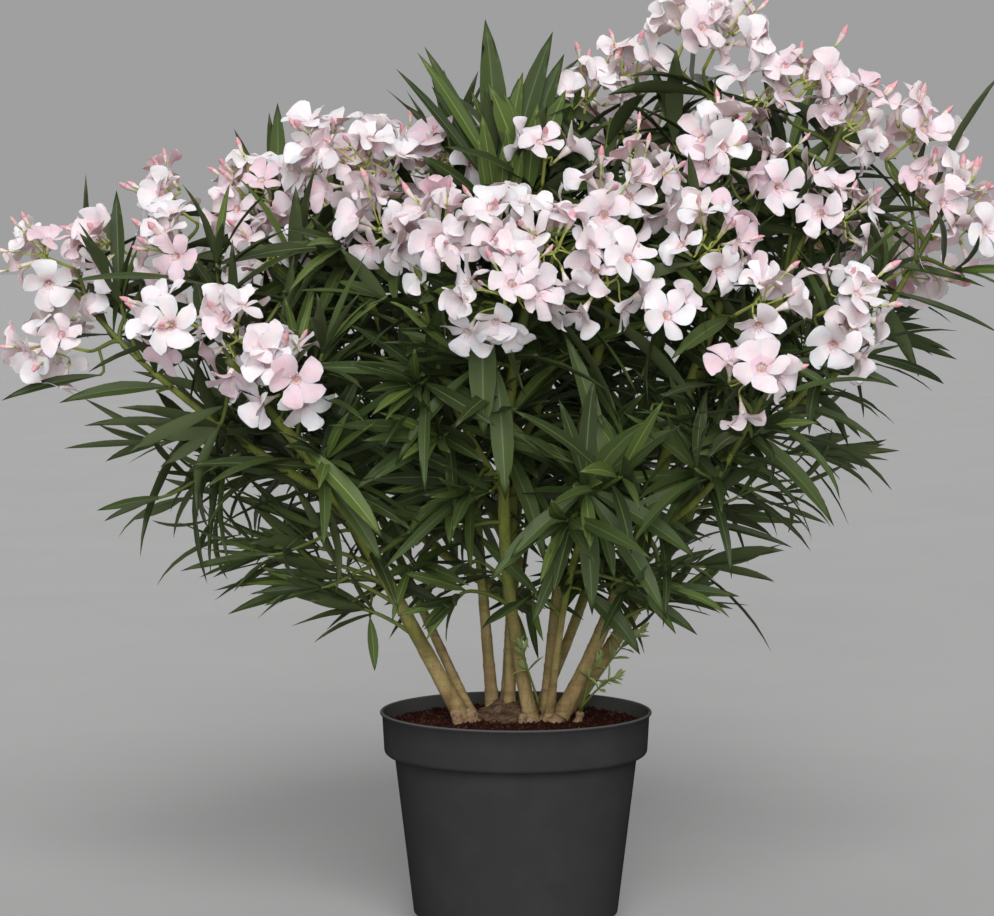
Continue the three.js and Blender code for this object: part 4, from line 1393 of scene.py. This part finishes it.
def make_soil():
    """The soil's uneven top, with a skirt down inside the pot, and loose crumbs on it."""
    edge, _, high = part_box("soil")[1]
    radius = (np.linspace(0.0, 1.0, 60) ** 0.8 * edge)[:, None]
    angle = ring_angles(160)
    x, y = radius * np.cos(angle), radius * np.sin(angle)
    bed = Pile()
    add_mound(bed, x, y, soil_height(x, y), (edge - 16 * MM) / edge, high - 45 * MM, (0, 0), 0)
    corners = np.kron(np.eye(3), [[1], [-1]])
    faces = np.array([[0, 2, 4], [2, 1, 4], [1, 3, 4], [3, 0, 4], [2, 0, 5], [1, 2, 5], [3, 1, 5], [0, 3, 5]])
    count = SOIL_CRUMBS
    spots = rng.uniform(0, TURN, count)
    reach = np.sqrt(rng.uniform(0.02, 1, count)) * (edge - 3 * MM)
    x, y = reach * np.cos(spots), reach * np.sin(spots)
    sizes = np.minimum(rng.gamma(2.0, 0.42, count) * MM + 0.4 * MM, 3.4 * MM)
    shapes = corners * rng.uniform(0.55, 1.2, (count, 6, 1)) + rng.normal(0, 0.2, (count, 6, 3))
    places = np.stack([x, y, soil_height(x, y) + sizes * 0.25], axis=1)
    tris = faces + (np.arange(count) * 6)[:, None, None]
    tints = rng.choice([0, 1, 2], count, p=CRUMB_SHARES)
    crumbs = Pile()
    crumbs.add(places[:, None] + shapes * sizes[:, None, None], (tris, tints[:, None]))
    bed.piece("soil_bed", made(SOIL_LOOKS), "soil", ["soil"])
    crumbs.piece("soil_crumbs", made(CRUMB_LOOKS), "soil")


def add_knob(pile, centre, radii, slot):
    """A lumpy round knob of wood."""
    rings, sides = 11, 14
    polar = np.linspace(0, math.pi, rings)[:, None]
    turn = ring_angles(sides) + rng.uniform(*ANY_TURN)
    ways = [np.sin(polar) * np.cos(turn), np.sin(polar) * np.sin(turn), np.cos(polar) + 0 * turn]
    ways = np.stack(ways, axis=-1)
    swell = np.ones((rings, sides))
    for _ in range(7):
        aim = rng.standard_normal(3) * rng.uniform(1.5, 6)
        swell += 0.055 * np.sin(ways @ aim + rng.uniform(*ANY_TURN))
    points = centre + ways * swell[..., None] * radii
    pile.add(points[::-1], (ring_quads(rings, sides), slot))


def add_burl(pile, ground, x, y, spread, height, knobs):
    """A heap of knobs, highest in its middle."""
    reach = np.sqrt((np.arange(knobs) + 0.5) / knobs)
    around = np.arange(knobs) * 2.4 + rng.uniform(*ANY_TURN)
    slot = CROWN_MOUND if knobs > CAKED_FROM else CROWN_WOOD
    for out, angle in zip(reach, around):
        size = rng.uniform(*KNOB_SIZE)
        rise = height * (1 - out**2) * rng.uniform(0.5, 1.0) - rng.uniform(1, 4)
        place = np.array([x + spread * out * math.cos(angle), y + spread * out * math.sin(angle), rise])
        radii = size * MM * rng.uniform(0.8, 1.2, 3) * KNOB_SQUASH
        add_knob(pile, place * MM + UP * ground, radii, slot)


def make_foot(limbs):
    """The woody root crown: a low rough mound, burls round the feet of the stems, and old stubs."""
    low, high = (np.array(corner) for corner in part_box("root_crown"))
    middle, half = (low + high) / 2, (high - low) / 2
    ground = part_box("soil")[1][2]
    share = np.linspace(0.0, 1.0, 60)[:, None]
    angle = ring_angles(120)[None]
    wobble = 1 + 0.09 * np.sin(3 * angle + 1) + 0.06 * np.sin(5 * angle + 2) + 0.03 * np.sin(9 * angle)
    x = middle[0] + share * half[0] * 0.9 * wobble * np.cos(angle)
    y = middle[1] + share * half[1] * 0.9 * wobble * np.sin(angle)
    dome = (high[2] - ground) * 0.85 * np.clip(1 - share**2, 0, 1) ** 1.4
    z = ground - 2 * MM + dome + uneven(x, y, MOUND_WAVES) * np.sqrt(1 - share)
    pile = Pile()
    add_mound(pile, x, y, z, 1, ground - 7 * MM, middle[:2], CROWN_MOUND)
    for burl in BURLS:
        add_burl(pile, ground, *burl)
    for limb in limbs:
        if limb.is_stem:
            x0, y0 = limb.path[0][:2] / MM
            add_burl(pile, ground, x0, y0, limb.foot_radius / MM * 0.7, 1, STEM_KNOBS)
    for x0, y0, radius, height in STUBS:
        start = np.array([x0 * MM, y0 * MM, ground - 2 * MM])
        way = unit([x0 * 0.004, y0 * 0.004, 0.7])
        path = start + way * np.linspace(0, 1, len(STUB_SHAPE))[:, None] * height * MM
        relief = rng.normal(0, 0.35 * MM, (len(STUB_SHAPE), 12))
        add_tube(pile, path, radius * MM * STUB_SHAPE, 12, CROWN_WOOD, relief)
    pile.piece("root_foot", made(CROWN_LOOKS), "bark", ["root_crown"])


# ---- the plant ----
def grow_limbs():
    limbs = read_limbs()
    pile = Pile()
    for limb in limbs:
        add_limb(pile, limb, 16 if limb.is_stem else 12)
    pile.piece("stems_and_boughs", [bark("oleander_bark")], "bark", [limb.name for limb in limbs])
    make_foot(limbs)
    return limbs


def make_twigs(shoots, reach):
    """Each shoot's own wood, as far as its last leaf."""
    twigs = Pile()
    for shoot, share in zip(shoots, reach):
        if shoot.radius is None or share <= 0:
            continue
        steps = np.linspace(0, share, len(shoot.path))
        places, _ = along(shoot.path, steps * lengths_along(shoot.path)[-1])
        first, last = shoot.radius
        slot = TWIG_OLD if first > 3.4 else TWIG_YOUNG
        add_tube(twigs, places, (first + (last - first) * steps) * MM, 7, slot)
    twigs.piece("twigs", made(TWIG_LOOKS), "bark")


def make_blossom(blossom):
    stalks, petals, hearts, buds = Pile(), Pile(), Pile(), Pile()
    for path, thick, thin in blossom.stalks:
        add_tube(stalks, path, np.linspace(thick, thin, len(path)) * MM, 6, 0)
    stalks.piece("flower_stalks", made(STALK_LOOKS), "foliage")
    feet, axes, scale = (np.array(values) for values in zip(*blossom.flowers))
    sides_at = round_axis(axes, any_side(axes), rng.uniform(0, TURN, len(feet)))
    shade = rng.choice([PETAL_WHITE, PETAL_BLUSH, PETAL_PINK], len(feet), p=PETAL_SHARES)
    add_petals(petals, feet, axes, sides_at, scale, shade)
    petals.piece("petals", made(PETAL_LOOKS), "blossom")
    add_hearts(hearts, feet, axes, sides_at, scale)
    hearts.piece("flower_hearts", made(HEART_LOOKS), "blossom")
    add_buds(buds, *(np.array(values) for values in zip(*blossom.buds)))
    buds.piece("buds", made(BUD_LOOKS), "blossom")


def grow():
    limbs = grow_limbs()
    blossom = Blossom([], [], [])
    shoots, leaves = [], []
    nodes = {"left": [], "middle": [], "right": [], "back": []}
    for name, mass in MASSES.items():
        region = region_at(mass["at"])
        nodes[region].append("foliage_" + name)
        trusses = add_trusses(blossom, name)
        shoots += shoots_of(name, mass, limbs, trusses, region)
    for limb in limbs:
        shoots += side_twigs(limb)
    shoots += leafy_tips(limbs) + basal_shoots()
    for number, shoot in enumerate(shoots):
        leaves_of(shoot, number, leaves)
    add_lone_leaves(leaves, shoots)
    rows = {field: np.array([leaf[field] for leaf in leaves]) for field in leaves[0]}
    guards = np.concatenate([before_flowers(blossom.flowers), before_stem(limbs)])
    rows, reach = clear_of(thinned(rows, shoots), guards, shoots)
    make_twigs(shoots, reach)
    for region, stands_for in nodes.items():
        pile = Pile()
        add_leaves(pile, picked(rows, of_owner(rows, shoots, "region") == region))
        pile.piece("leaves_" + region, made(LEAF_LOOKS), "foliage", stands_for)
    make_blossom(blossom)


# ---- light, floor and camera ----
def make_stage():
    bpy.ops.mesh.primitive_circle_add(vertices=128, radius=60, fill_type="NGON", location=(0, 0, 0))
    floor = bpy.context.object
    floor.name = "floor"
    m = Nodes("pale_floor")
    tone = m.remap(m.noise(3, 4), 0.3, 0.7)
    floor.data.materials.append(m.finish(m.mix(tone, (0.400, 0.400, 0.398), (0.420, 0.420, 0.417)), 0.85))
    scene = bpy.context.scene
    scene.world = bpy.data.worlds.new("soft_studio")
    scene.world.use_nodes = True
    background = scene.world.node_tree.nodes["Background"]
    background.inputs["Color"].default_value = (1.0, 1.0, 1.0, 1)
    background.inputs["Strength"].default_value = 0.35
    scene.view_settings.view_transform = "Standard"
    for light in LIGHTS:
        add_light(*light)


def add_light(name, place, power, spread):
    """A soft sun that shines from a place on the middle of the plant."""
    data = bpy.data.lights.new(name, "SUN")
    data.energy = power
    data.angle = math.radians(spread)
    light = bpy.data.objects.new(name, data)
    light.visible_camera = False
    light.location = place
    aim = Vector((0, 0, 0.5)) - Vector(place)
    light.rotation_euler = aim.to_track_quat("-Z", "Y").to_euler()
    bpy.context.scene.collection.objects.link(light)


def make_camera():
    """A long lens three metres off, a little above the middle of the crown and tipped down slightly."""
    data = bpy.data.cameras.new("camera")
    data.lens = CAMERA_LENS
    data.sensor_width = 36
    data.clip_end = 60
    camera = bpy.data.objects.new("camera", data)
    camera.location = CAMERA_PLACE
    camera.rotation_euler = (math.radians(90 - CAMERA_DOWN), 0, 0)
    bpy.context.scene.collection.objects.link(camera)
    bpy.context.scene.camera = camera


MASSES = read_masses()
make_pot()
make_soil()
grow()
make_stage()
make_camera()
